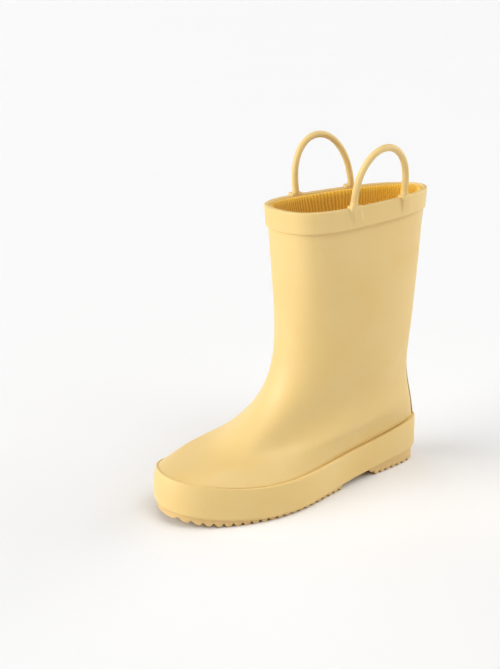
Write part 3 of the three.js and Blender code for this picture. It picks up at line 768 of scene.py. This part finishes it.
class BOOT_OT_collar(bpy.types.Operator):
    """Builds the band round the rim, rolled over the upper's edge and lifted over the loops' tabs"""

    bl_idname = "boot.collar"
    bl_label = "Collar"

    def execute(self, context):
        size = context.scene.boot_upper
        turns = np.linspace(0, 1, 600, endpoint=False)[:, None]
        out, edge = size.collar_wall, size.collar_round
        low, cap = level_below_rim(size.collar_height), GAP  # its lower edge's level, its rise over the rim
        heights = np.linspace(low, 1, 12)
        # The section's corners as (level, out, rise): up the outside, over the rim and down behind it
        corners = [(low, 0.0, 0.0), (low, out - edge, 0.0), (low, out - 0.3 * edge, 0.15 * edge)]
        corners += [(low, out, 0.6 * edge)] + [(level, out, 0.0) for level in heights[1:-1]]
        corners += [(1, out, cap - edge), (1, out - 0.3 * edge, cap - 0.3 * edge), (1, out - edge, cap)]
        inner = -size.wall - 0.05 * MM  # just past the upper's inner face
        corners += [(1, 0.0, cap), (1, inner + edge, cap)]
        corners += [(1, inner + 0.3 * edge, cap - 0.3 * edge), (1, inner, cap - edge)]
        under = level_below_rim(2.6 * MM)  # how far down the band reaches behind the rim
        # Inside the upper's own wall, where the band closes unseen
        sunk, shallow, drop = -size.wall + 0.4 * MM, -0.3 * MM, -0.6 * MM
        corners += [(under, inner, 0.0), (under, sunk, 0.0), (1, sunk, drop)]
        corners += [(1, shallow, drop), ((1 + low) / 2, shallow, 0.0)]
        level, offset, rise = (np.array(c)[None, :] for c in zip(*corners))
        lifted = (offset > 0.05 * MM) & (offset <= out)
        bump = np.where(lifted, tab_bump(level, turns) * size.tab_lift * np.clip(offset / out, 0, 1), 0)
        mesh = loft("collar", wall_point(level, turns, offset + bump, rise), True)
        new_piece("collar", mesh, finish("Satin moulded rubber"), "boot", ["collar_band"], sharp=60)
        return {"FINISHED"}


class BOOT_OT_back_stay(bpy.types.Operator):
    """Builds the raised strip over the back seam, from the foxing up to the collar"""

    bl_idname = "boot.back_stay"
    bl_label = "Back stay"

    def execute(self, context):
        size = context.scene.boot_upper
        half = turn_for(size.stay_width / 2, 0.6, 0)  # its half width, measured half way up the leg
        top = level_below_rim(size.collar_height - 1 * MM)
        levels = np.linspace(FOXING_LEVEL - 0.01, top, 120)[:, None]
        # The strip's section: shares of its half width and of its wall, then its underside in the upper
        across = np.array([-1, -0.99, -0.93, -0.8, -0.4, 0, 0.4, 0.8, 0.93, 0.99, 1])
        out = size.stay_wall * np.array([0, 0.55, 0.88, 1, 1, 1, 1, 1, 0.88, 0.55, 0])
        across = np.concatenate([across, across[::-1]])
        offsets = np.concatenate([out, np.full(len(out), -0.15 * MM)])[None, :]
        mesh = loft("seam_stay", wall_point(levels, across[None, :] * half, offsets), False)
        # The strip's two outermost edges are marked for a line of painted shade
        edge = np.broadcast_to(np.abs(across) > 0.96, (len(levels), len(across)))
        layer = mesh.attributes.new("cement", "FLOAT", "POINT")
        layer.data.foreach_set("value", edge.astype(np.float32).ravel())
        rubber = finish("Cemented stay rubber")
        new_piece("seam_stay", mesh, rubber, "boot", ["back_stay"], sharp=70)
        return {"FINISHED"}


# ---- The sole ----


class BOOT_OT_foxing(bpy.types.Operator):
    """Builds the tall band round the sole, with a ledge along its top and a rounded foot"""

    bl_idname = "boot.foxing"
    bl_label = "Foxing"

    def execute(self, context):
        size = context.scene.boot_sole
        turns = np.linspace(0, 1, 480, endpoint=False)
        share = share_at(outline_at(turns, 0.0)[:, 1])
        low, high = foxing_bottom(share), foxing_top(share)
        foot, bevel = size.bottom_round, size.top_bevel
        lean = 0.3 * MM + 1.1 * MM * smoothstep(0.45, 0.95, share)  # how far the band leans in at its top
        top_in = 2.95 * MM  # the inset of its top's inner edge, which lies inside the upper
        # The section as (inset, height), from the top's inner edge over the outside to the foot
        section = [(top_in, high - 0.9 * MM), (top_in, high - 0.42 * MM)]
        top_in -= 0.35 * MM
        ledge = np.maximum(top_in - size.ledge * 0.5, lean + bevel + 0.1 * MM)
        section += [(top_in, high - 0.12 * MM), (ledge, high)]
        section += [(lean + bevel, high), (lean + 0.5 * bevel, high - 0.12 * bevel)]
        side_top, middle = high - 1.1 * bevel, (low + high) / 2
        section += [(lean + 0.14 * bevel, high - 0.45 * bevel), (lean, side_top)]
        section += [(lean * w * w, side_top + (middle - side_top) * (1 - w)) for w in (0.7, 0.4, 0.15)]
        section += [(0.0, middle), (0.0, low + 1.5 * foot)]
        bend = np.radians(np.linspace(0, 80, 7))
        section += [(foot * (1 - math.cos(b)), low + foot * (1 - math.sin(b))) for b in bend]
        section += [(foot + 0.4 * MM, low + 0.02 * MM), (foot + 0.4 * MM, low + CORE)]
        rows = []
        for inset, height in section:
            flat = outline_at(turns, np.broadcast_to(inset, turns.shape))
            height = np.broadcast_to(height, turns.shape)
            rows.append(np.stack([flat[:, 0] + outline_shift, flat[:, 1], height], -1))
        mesh = loft("foxing", np.stack(rows, 1), True)
        rubber = finish("Moulded foxing rubber")
        new_piece("foxing", mesh, rubber, "boot", ["foxing_band"], sharp=55)
        return {"FINISHED"}


def sole_sides(inset):
    """(the two sides' x at any y, the lowest and the highest y) of the outline moved in by inset."""
    turns = np.linspace(0, 1, FINE_TURNS, endpoint=False)
    flat = outline_at(turns, np.full(len(turns), float(inset))) + [outline_shift, 0]
    flat = np.roll(flat, -int(np.argmax(flat[:, 1])), 0)
    last = int(np.argmin(flat[:, 1]))
    outer, inner = flat[: last + 1][::-1], np.concatenate([flat[last:], flat[:1]])

    def sides(y):
        return np.interp(y, inner[:, 1], inner[:, 0]), np.interp(y, outer[:, 1], outer[:, 0])

    return sides, flat[last, 1], flat[0, 1]


TOE_SPRING = 5.5 * MM  # how high the tread rises at the toe
SPRING_START = 0.22  # the share of the sole's length over which it rises
END_STEP = 0.01 * MM  # how far inside the outline's end a slab ends


def tread_height(y):
    """The tread's height above the floor: flat, then rising to the toe."""
    rise = np.clip((share_at(y) - 1 + SPRING_START) / SPRING_START, 0, 1)
    return TOE_SPRING * rise**2


def sole_stations(ends, front, back, step):
    """Places along the sole from front to back, closer together where the outline rounds off at an end."""
    low, high = ends[0] + END_STEP, ends[1] - END_STEP
    front, back = max(front, low), min(back, high)
    near_end = np.array([0, 0.03, 0.09, 0.18, 0.3, 0.45, 0.65, 0.9, 1.2, 1.6, 2.1, 2.7]) * MM
    places = np.concatenate([np.arange(front, back, step), low + near_end, high - near_end, [back]])
    places = np.unique(np.round(places[(places >= front) & (places <= back)], 7))
    return places[np.concatenate([[True], np.diff(places) > 0.8 * END_STEP])]


def sole_slab(places, sides, bottom, top, edge, across):
    """(rows, how far each point may sink inwards and up) of a slab between the outline's two sides."""
    left, right = sides(places)
    edge = np.minimum(edge, (right - left) / 4)
    wall_top = np.minimum(bottom + 2.6 * MM, bottom + 0.95 * (top - bottom))
    # Down each side as (inwards, height, how much of the furrows it takes)
    corner = [(0.0, top, 0), (0.0, wall_top, 0), (0.0, bottom + edge, 1)]
    corner += [(0.3 * edge, bottom + 0.3 * edge, 1)]
    points, sink = [], []
    for inward, height, share in corner:
        points.append((left + inward, height))
        sink.append((1, share))
    for w in np.linspace(0, 1, across):
        points.append((left + edge + w * (right - left - 2 * edge), bottom))
        sink.append((0, 1))
    for inward, height, share in corner[::-1]:
        points.append((right - inward, height))
        sink.append((-1, share))
    rows = [np.stack([x, places, np.broadcast_to(z, places.shape)], -1) for x, z in points]
    rows = np.stack(rows, 1)
    return rows, np.broadcast_to(np.array(sink, float), rows.shape[:2] + (2,))


def ribbed_slab(name, front, back, bottom, first_groove, flute):
    """A slab of tread with grooves across it."""
    size = bpy.context.scene.boot_sole
    sides, *ends = sole_sides(size.tread_inset)
    places = sole_stations(ends, front, back, 0.28 * MM)
    top = foxing_bottom(share_at(places)) + 1.2 * MM
    rows, sink = sole_slab(places, sides, bottom(places), top, 0.45 * MM, 22)
    mesh = loft(name, rows, False)
    vectors = np.zeros(rows.shape)
    vectors[..., 0] = sink[..., 0] * flute
    vectors[..., 2] = sink[..., 1]
    values = {"Pitch": size.rib_pitch, "Depth": size.groove_depth, "Material": finish("Ribbed tread rubber")}
    values |= {"Mouth": size.groove_mouth, "Root": size.groove_root}
    return sink_furrows(name, mesh, first_groove - rows[..., 1], vectors, values)


def joined(name, meshes):
    """Several meshes as one."""
    points, faces, start = [], [], 0
    for mesh in meshes:
        points += [tuple(v.co) for v in mesh.vertices]
        faces += [[start + v for v in face.vertices] for face in mesh.polygons]
        start += len(mesh.vertices)
    made = bpy.data.meshes.new(name)
    made.from_pydata(points, [], faces)
    return made


class BOOT_OT_sole(bpy.types.Operator):
    """Builds the outsole's sheet with its ribbed forefoot, and the ribbed heel block"""

    bl_idname = "boot.sole"
    bl_label = "Sole"

    def execute(self, context):
        size = context.scene.boot_sole
        pitch, inset = size.rib_pitch, size.tread_inset
        arch = SOLE_BACK - 74 * MM  # where the forefoot's tread ends
        heel_top, heel_foot = SOLE_BACK - 49 * MM, SOLE_BACK - 42 * MM  # the heel's breast, above and below

        def margin(span):
            """What is left at each end of a span that holds as many whole ribs as it can but one."""
            return (span - (math.floor(span / pitch) - 1) * pitch) / 2

        def forefoot(y):
            return tread_height(y) + 0.9 * MM * smoothstep(arch - 1 * MM, arch, y) ** 2

        def heel(y):
            slope = np.clip((heel_foot - y) / (heel_foot - heel_top), 0, 1)
            return slope * (foxing_bottom(share_at(heel_top)) + 0.2 * MM)

        tread_length = arch + SOLE_BACK - inset
        front_groove = arch - margin(tread_length)
        front = ribbed_slab("forefoot_tread", -SOLE_BACK, arch, forefoot, front_groove, 0.0)
        sides, *ends = sole_sides(2.3 * MM)  # the sheet lies inside the foxing
        places = sole_stations(ends, -SOLE_BACK, SOLE_BACK, 2 * MM)
        bottom = foxing_bottom(share_at(places)) + 0.05 * MM
        rows, _ = sole_slab(places, sides, bottom, bottom + CORE, 0.2 * MM, 12)
        outsole = joined("ribbed_outsole", [front, loft("outsole_sheet", rows, False)])
        rubber = finish("Ribbed tread rubber")
        new_piece("ribbed_outsole", outsole, rubber, "boot", ["outsole"], sharp=50)
        back_groove = SOLE_BACK - inset - margin(SOLE_BACK - inset - heel_foot)
        block = ribbed_slab("heel_block", heel_top, SOLE_BACK, heel, back_groove, size.flute)
        new_piece("heel_block", block, rubber, "boot", ["heel"], sharp=50)
        return {"FINISHED"}


# ---- Inside the boot ----


def leg_girth():
    """The lining's girth half way up the leg."""
    ring = wall_point(0.8, np.linspace(0, 1, 200), LINING_OUT)
    return float(np.linalg.norm(np.diff(ring, axis=0), axis=1).sum())


OUTSIDE_ROWS = 23  # rows up the knit's outside, where nobody looks
ANKLE_SEAM = 0.5  # the level at which the foot's lining meets the leg's


def lining_sheet(name, levels, turns, outer, wall, rise, replaces, furrows=None):
    """A tube of knit, from its top level down."""
    top, low = levels[0], levels[-1]
    inner_out = outer(levels) - wall(levels)
    up = np.linspace(low, top, OUTSIDE_ROWS + 1)[:-1]
    # Over the top edge, the knit's fold rises in the middle of its wall
    share = np.array([0.0, 0.28, 0.7, 1.0])
    fold_out, fold_rise = outer(top) - wall(top) * share, rise - 0.45 * MM * (2 * np.abs(share - 0.5)) ** 3
    level = np.concatenate([up, np.full(len(share), top), levels[1:]])[None, :]
    out = np.concatenate([outer(up), fold_out, inner_out[1:]])[None, :]
    lift = np.concatenate([np.zeros(OUTSIDE_ROWS), fold_rise, np.zeros(len(levels) - 1)])[None, :]
    rows = wall_point(level, turns[:, None], out, lift)
    v = np.concatenate([[0], np.cumsum(np.linalg.norm(np.diff(rows[0], axis=0), axis=-1))])
    v = np.concatenate([v, [v[-1] + wall(low)]])
    u = np.linspace(0, leg_girth(), len(turns) + 1)
    uv = np.stack(np.broadcast_arrays(u[:, None], v[None, :]), -1)
    mesh = loft(name, rows, True, uv)
    if furrows:
        # How much of the furrows each row takes: none outside, half over the fold, and all inside
        inside = np.concatenate([np.zeros(OUTSIDE_ROWS + 2), [0.5, 1.0], np.ones(len(levels) - 1)])
        inside = inside[None, :, None]
        outward = wall_point(level, turns[:, None], out + 1 * MM, lift) - rows
        station = np.broadcast_to(u[:-1, None], rows.shape[:2])
        mesh = sink_furrows(name, mesh, station, unit(outward) * inside, furrows)
    piece = new_piece(name, mesh, finish("Brushed cotton knit"), "boot", replaces, sharp=80)
    inner = wall_point(levels[None, :], turns[:, None], inner_out[None, :])


class BOOT_OT_lining(bpy.types.Operator):
    """Builds the knit lining of the leg and of the foot"""

    bl_idname = "boot.lining"
    bl_label = "Lining"

    def execute(self, context):
        size = context.scene.boot_lining
        count = size.wale_count
        wale = leg_girth() / count

        def leg_out(level):
            """The knit lies on the upper near the rim, and stands off it over the ankle patches."""
            return LINING_OUT + (LINING_TOP_OUT - LINING_OUT) * smoothstep(0.72, 0.86, level)

        def leg_wall(level):
            return leg_out(level) - (LINING_OUT - size.wall)

        turns = np.linspace(0, 1, count * 5, endpoint=False)  # five points to each rib
        levels = np.linspace(level_below_rim(1 * MM), ANKLE_SEAM + 0.004, 52)
        furrows = {
            "Pitch": wale, "Mouth": 0.95 * wale, "Root": 0.05 * wale, "Depth": size.wale_depth,
            "Unevenness": 0.8, "Seed": size.seed, "Material": finish("Brushed cotton knit"),
        }
        lining_sheet("leg_lining_knit", levels, turns, leg_out, leg_wall, 0.35 * MM, ["leg_lining"], furrows)
        foot_levels = np.concatenate([np.linspace(ANKLE_SEAM, FOXING_LEVEL, 60), [0.06, 0.03, 0.0]])
        foot_turns = np.linspace(0, 1, 240, endpoint=False)
        lining_sheet(
            "foot_lining_knit", foot_levels, foot_turns,
            lambda level: LINING_OUT + 0 * level, lambda level: size.wall + 0 * level, 0.0, ["foot_lining"],
        )
        return {"FINISHED"}


class BOOT_OT_footbed(bpy.types.Operator):
    """Builds the loose footbed: a soft foam pad with a knit cover"""

    bl_idname = "boot.footbed"
    bl_label = "Footbed"

    def execute(self, context):
        sides, *ends = sole_sides(7.35 * MM)  # inside the foot's lining
        places = sole_stations(ends, -SOLE_BACK, SOLE_BACK, 1.5 * MM)
        left, right = sides(places)
        width = right - left
        base = foxing_bottom(share_at(places)) + 5.1 * MM  # over the sheet, the filler and the board
        across = np.linspace(-1, 1, 25)

        def pad_rows(bottom, top, edge):
            """Rows of a pad with rounded edges; its middle lies a little lower than its rim."""
            cup = 0.35 * MM * (1 - np.abs(across) ** 3)
            rows = []
            for centre, half, z in zip((left + right) / 2, width / 2, base):
                r = min(edge, half / 3)
                drop = r * (1 - np.sqrt(1 - np.clip((np.abs(across) * half - half + r) / r, 0, 1) ** 2))
                height = z + top - cup * min(1, half / (12 * MM)) - drop
                over = np.stack([centre + across * half, height], -1)
                under = np.stack([centre + across[::-1] * half * 0.985, np.full(len(across), z + bottom)], -1)
                rows.append(np.concatenate([over, under]))
            rows = np.array(rows)
            y = np.broadcast_to(places[:, None], rows.shape[:2])
            return np.stack([rows[..., 0], y, rows[..., 1]], -1)

        foam = loft("footbed_pad", pad_rows(0.0, 3.0 * MM, 0.9 * MM), False)
        pad = new_piece("footbed_pad", foam, finish("Cut foam"), "footbed", ["footbed_foam"])
        cover = loft("footbed_knit", pad_rows(2.2 * MM, 3.8 * MM, 0.8 * MM), False)
        layer = cover.uv_layers.new(name="cloth").data
        for loop in cover.loops:
            point = cover.vertices[loop.vertex_index].co
            layer[loop.index].uv = (point.x, point.y)
        knit = finish("Brushed cotton knit")
        piece = new_piece("footbed_knit", cover, knit, "footbed", ["footbed_cover"])
        return {"FINISHED"}


class BOOT_OT_hidden_layers(bpy.types.Operator):
    """Finishes the boards, stiffeners and ankle patches, which lie between the layers"""

    bl_idname = "boot.hidden_layers"
    bl_label = "Boards and stiffeners"

    def execute(self, context):
        finishes = {
            "Pressed fibre board": ["sole_filler", "insole_board", "heel_counter", "toe_puff"],
            "Rubberised canvas": ["ankle_patch_outer", "ankle_patch_inner"],
        }
        for name, nodes in finishes.items():
            for node in nodes:
                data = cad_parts[node].data
                data.materials.clear()
                data.materials.append(finish(name))
        return {"FINISHED"}


# ---- The pull loops ----


def rod_rows(centres, radii, sides=20):
    """Rings round a line of points, without twist."""
    ahead = unit(np.gradient(centres, axis=0))
    side = unit(np.cross(ahead[0], [1.0, 0.0, 0.0]))
    rows = []
    angle = np.linspace(0, 2 * np.pi, sides, endpoint=False)[:, None]
    for centre, direction, radius in zip(centres, ahead, radii):
        side = unit(side - direction * (side @ direction))
        other = np.cross(direction, side)
        rows.append(centre + radius * (np.cos(angle) * side + np.sin(angle) * other))
    return np.array(rows)


def rod_mesh(size, front, back, sway):
    """A bent rod from root to root, flared where it leaves its blocks and with its ends sunk in them."""
    t = np.linspace(0, 1, 120)[:, None]  # how far round the bow, root to root
    line = front + (back - front) * (1 - np.cos(np.pi * t)) / 2 + np.sin(np.pi * t) ** 0.9 * sway
    below = np.array([0, 0, -size.rod_radius - 1.0 * MM])
    line = np.concatenate([front + below * [[1], [0.6], [0.3]], line, back + below * [[0.3], [0.6], [1]]])
    along = np.concatenate([[0], np.cumsum(np.linalg.norm(np.diff(line, axis=0), axis=1))])
    sunk, fade = 0.7 * MM, 1.9 * MM  # how much of the rod is in its block, and how fast its flare fades
    from_block = np.clip(np.minimum(along, along[-1] - along) - sunk, 0, None)
    radii = size.rod_radius + size.root_flare * np.exp(-((from_block / fade) ** 2))
    return loft("rod", rod_rows(line, radii), False)


def block_mesh(size, rim, turn):
    """A root block with rounded edges, which straddles the rim at a turn."""
    half = turn_for(rim.tab_width / 2, 1, turn)
    top, edge = GAP + size.root_block, size.block_edge
    outside, inside = rim.collar_wall + rim.tab_lift + 0.4 * MM, -rim.wall - 0.1 * MM
    # Its section as (out, rise), from its outer foot over its top to its inner foot
    corners = [(outside, -1.4 * MM), (outside, top - edge), (outside - 0.3 * edge, top - 0.3 * edge)]
    corners += [(outside - edge, top), (inside + edge, top), (inside + 0.3 * edge, top - 0.3 * edge)]
    corners += [(inside, top - edge), (inside, -0.4 * MM)]
    out, rises = (np.array(c)[None, :] for c in zip(*corners))
    # Along the rim: shares of its half width, and how full its section is there
    shares = np.array([-1, -0.97, -0.9, 0, 0.9, 0.97, 1])[:, None]
    full = np.array([0.7, 0.9, 1, 1, 1, 0.9, 0.7])[:, None]
    centre = (outside + inside) / 2
    out = centre + (out - centre) * (1 - (1 - full) * 2 * edge / (outside - inside))
    rises = np.where(rises > 0, rises - (1 - full) * edge, rises)
    return loft("block", wall_point(1, turn + shares * half, out, rises), False)


class BOOT_OT_pull_loops(bpy.types.Operator):
    """Builds the two pull loops, each moulded in one with the blocks that straddle the rim"""

    bl_idname = "boot.pull_loops"
    bl_label = "Pull loops"

    def execute(self, context):
        size = context.scene.boot_loops
        rim = context.scene.boot_upper
        root_rise = 2 * GAP + size.root_block + size.rod_radius
        for name, (side, _, height, lean, rake) in LOOPS.items():
            front, back = (wall_point(1, turn, GAP, root_rise) for turn in root_turns[name])
            sway = np.array([side * lean, -rake, height - root_rise])
            meshes = [rod_mesh(size, front, back, sway)]
            meshes += [block_mesh(size, rim, turn) for turn in root_turns[name]]
            piece = bpy.data.objects.new(f"pull_loop_{name}", joined(f"pull_loop_{name}", meshes))
            context.scene.collection.objects.link(piece)
            finish_piece(piece, finish("Satin moulded rubber"), 50)
            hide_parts(f"handle_{name}", f"tab_{name}_front", f"tab_{name}_back")
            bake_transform(piece)
        return {"FINISHED"}


# ---- The studio ----


CAMERA_AZIMUTH, CAMERA_ELEVATION = math.radians(56.39), math.radians(17.68)
CAMERA_DISTANCE = 666.74 * MM
FOCAL_LENGTH, SENSOR = 58.48, 36  # in millimetres, as Blender's cameras hold them
AIM_HEIGHT = 90 * MM  # of the middle of the boot
AIM_LEFT, AIM_UP = 29.08 * MM, 10.73 * MM  # how far the view's middle lies from the boot's
FLOOR_REACH = 30.0  # metres, so that the floor's edge lies at the horizon
FLOOR_DROP = 0.02 * MM  # keeps the floor from flickering against the sole
LIGHT_SPREAD = math.radians(50)
# Each soft light: how far it stands to the camera's right and up, in degrees, and its strength
LIGHTS = [
    ("Key", -70, 20, 3.1),
    ("High side", 60, 45, 0.85),
    ("Overhead", 20, 75, 1.15),
    ("Rim", 112, 20, 1.5),
    ("Fill", -150, 20, 0.6),
]


def towards(azimuth, elevation):
    """The direction of something at an azimuth, counted from -Y towards +X, and an elevation."""
    flat = math.cos(elevation)
    return Vector((math.sin(azimuth) * flat, -math.cos(azimuth) * flat, math.sin(elevation)))


class BOOT_OT_stage(bpy.types.Operator):
    """Sets up the camera, the pale floor and soft light all round, strongest from the front left"""

    bl_idname = "boot.stage"
    bl_label = "Studio"

    def execute(self, context):
        scene = context.scene
        right, back = towards(CAMERA_AZIMUTH + math.pi / 2, 0), towards(CAMERA_AZIMUTH, CAMERA_ELEVATION)
        up = back.cross(right)
        target = Vector((outline_shift, 0, AIM_HEIGHT)) - right * AIM_LEFT + up * AIM_UP
        lens = bpy.data.cameras.new("Camera")
        lens.lens, lens.sensor_width = FOCAL_LENGTH, SENSOR
        lens.clip_start, lens.clip_end = 0.01, 100
        camera = bpy.data.objects.new("Camera", lens)
        turn = Matrix((right, up, back)).transposed().to_4x4()
        camera.matrix_world = Matrix.Translation(target + back * CAMERA_DISTANCE) @ turn
        scene.collection.objects.link(camera)
        scene.camera = camera

        mesh = bpy.data.meshes.new("floor")
        corners = [(FLOOR_REACH * x, FLOOR_REACH * y, 0) for x, y in ((-1, -1), (1, -1), (1, 1), (-1, 1))]
        mesh.from_pydata(corners, [], [(0, 1, 2, 3)])
        floor = bpy.data.objects.new("floor", mesh)
        floor.location.z = -FLOOR_DROP
        scene.collection.objects.link(floor)
        mesh.materials.append(finish("Matte studio paint"))

        world = bpy.data.worlds.new("Studio")
        world.use_nodes = True
        tree = world.node_tree
        place = add(tree, "ShaderNodeTexCoord").outputs["Generated"]
        height = add(tree, "ShaderNodeSeparateXYZ", {0: place}).outputs[2]
        # Pale walls stand all round at the floor's edge, and the room above them is dim
        span = {0: height, 1: 0.04, 2: 0.25, 3: 0.93, 4: 0.01}
        bright = add(tree, "ShaderNodeMapRange", span, interpolation_type="SMOOTHSTEP")
        tree.nodes["Background"].inputs[0].default_value = (1, 1, 1, 1)
        tree.links.new(bright.outputs[0], tree.nodes["Background"].inputs[1])
        scene.world = world
        for name, across, above, strength in LIGHTS:
            light = bpy.data.lights.new(name, "SUN")
            light.energy, light.angle = strength, LIGHT_SPREAD
            lamp = bpy.data.objects.new(name, light)
            lamp.rotation_mode = "QUATERNION"
            beam = towards(CAMERA_AZIMUTH + math.radians(across), math.radians(above))
            lamp.rotation_quaternion = beam.to_track_quat("Z", "Y")
            scene.collection.objects.link(lamp)
        scene.view_settings.view_transform = "Standard"
        scene.view_settings.look = "None"
        return {"FINISHED"}


# ---- The add-on ----

OPERATORS = [
    BOOT_OT_stage,
    BOOT_OT_upper,
    BOOT_OT_foxing,
    BOOT_OT_sole,
    BOOT_OT_back_stay,
    BOOT_OT_collar,
    BOOT_OT_lining,
    BOOT_OT_footbed,
    BOOT_OT_hidden_layers,
    BOOT_OT_pull_loops,
]
SETTINGS = {
    "boot_upper": BootUpperSizes,
    "boot_sole": BootSoleSizes,
    "boot_lining": BootLiningSizes,
    "boot_loops": BootLoopSizes,
    "boot_colours": BootColours,
}


class BOOT_PT_panel(bpy.types.Panel):
    """Lists the boot's pieces with their sizes and colours"""

    bl_idname = "BOOT_PT_panel"
    bl_label = "Rain Boot"
    bl_space_type = "VIEW_3D"
    bl_region_type = "UI"
    bl_category = "Rain Boot"

    def draw(self, context):
        for operator in OPERATORS:
            self.layout.operator(operator.bl_idname)
        for name in SETTINGS:
            group = getattr(context.scene, name)
            column = self.layout.column(align=True)
            for field in group.bl_rna.properties:
                if field.identifier not in ("name", "rna_type"):
                    column.prop(group, field.identifier)


def register():
    for name, group in SETTINGS.items():
        bpy.utils.register_class(group)
        setattr(bpy.types.Scene, name, PointerProperty(type=group))
    for item in (*OPERATORS, BOOT_PT_panel):
        bpy.utils.register_class(item)


def unregister():
    for item in (BOOT_PT_panel, *reversed(OPERATORS)):
        bpy.utils.unregister_class(item)
    for name, group in reversed(SETTINGS.items()):
        delattr(bpy.types.Scene, name)
        bpy.utils.unregister_class(group)


def main():
    register()
    for operator in OPERATORS:
        group, name = operator.bl_idname.split(".")
        getattr(getattr(bpy.ops, group), name)()


if __name__ == "__main__":
    main()
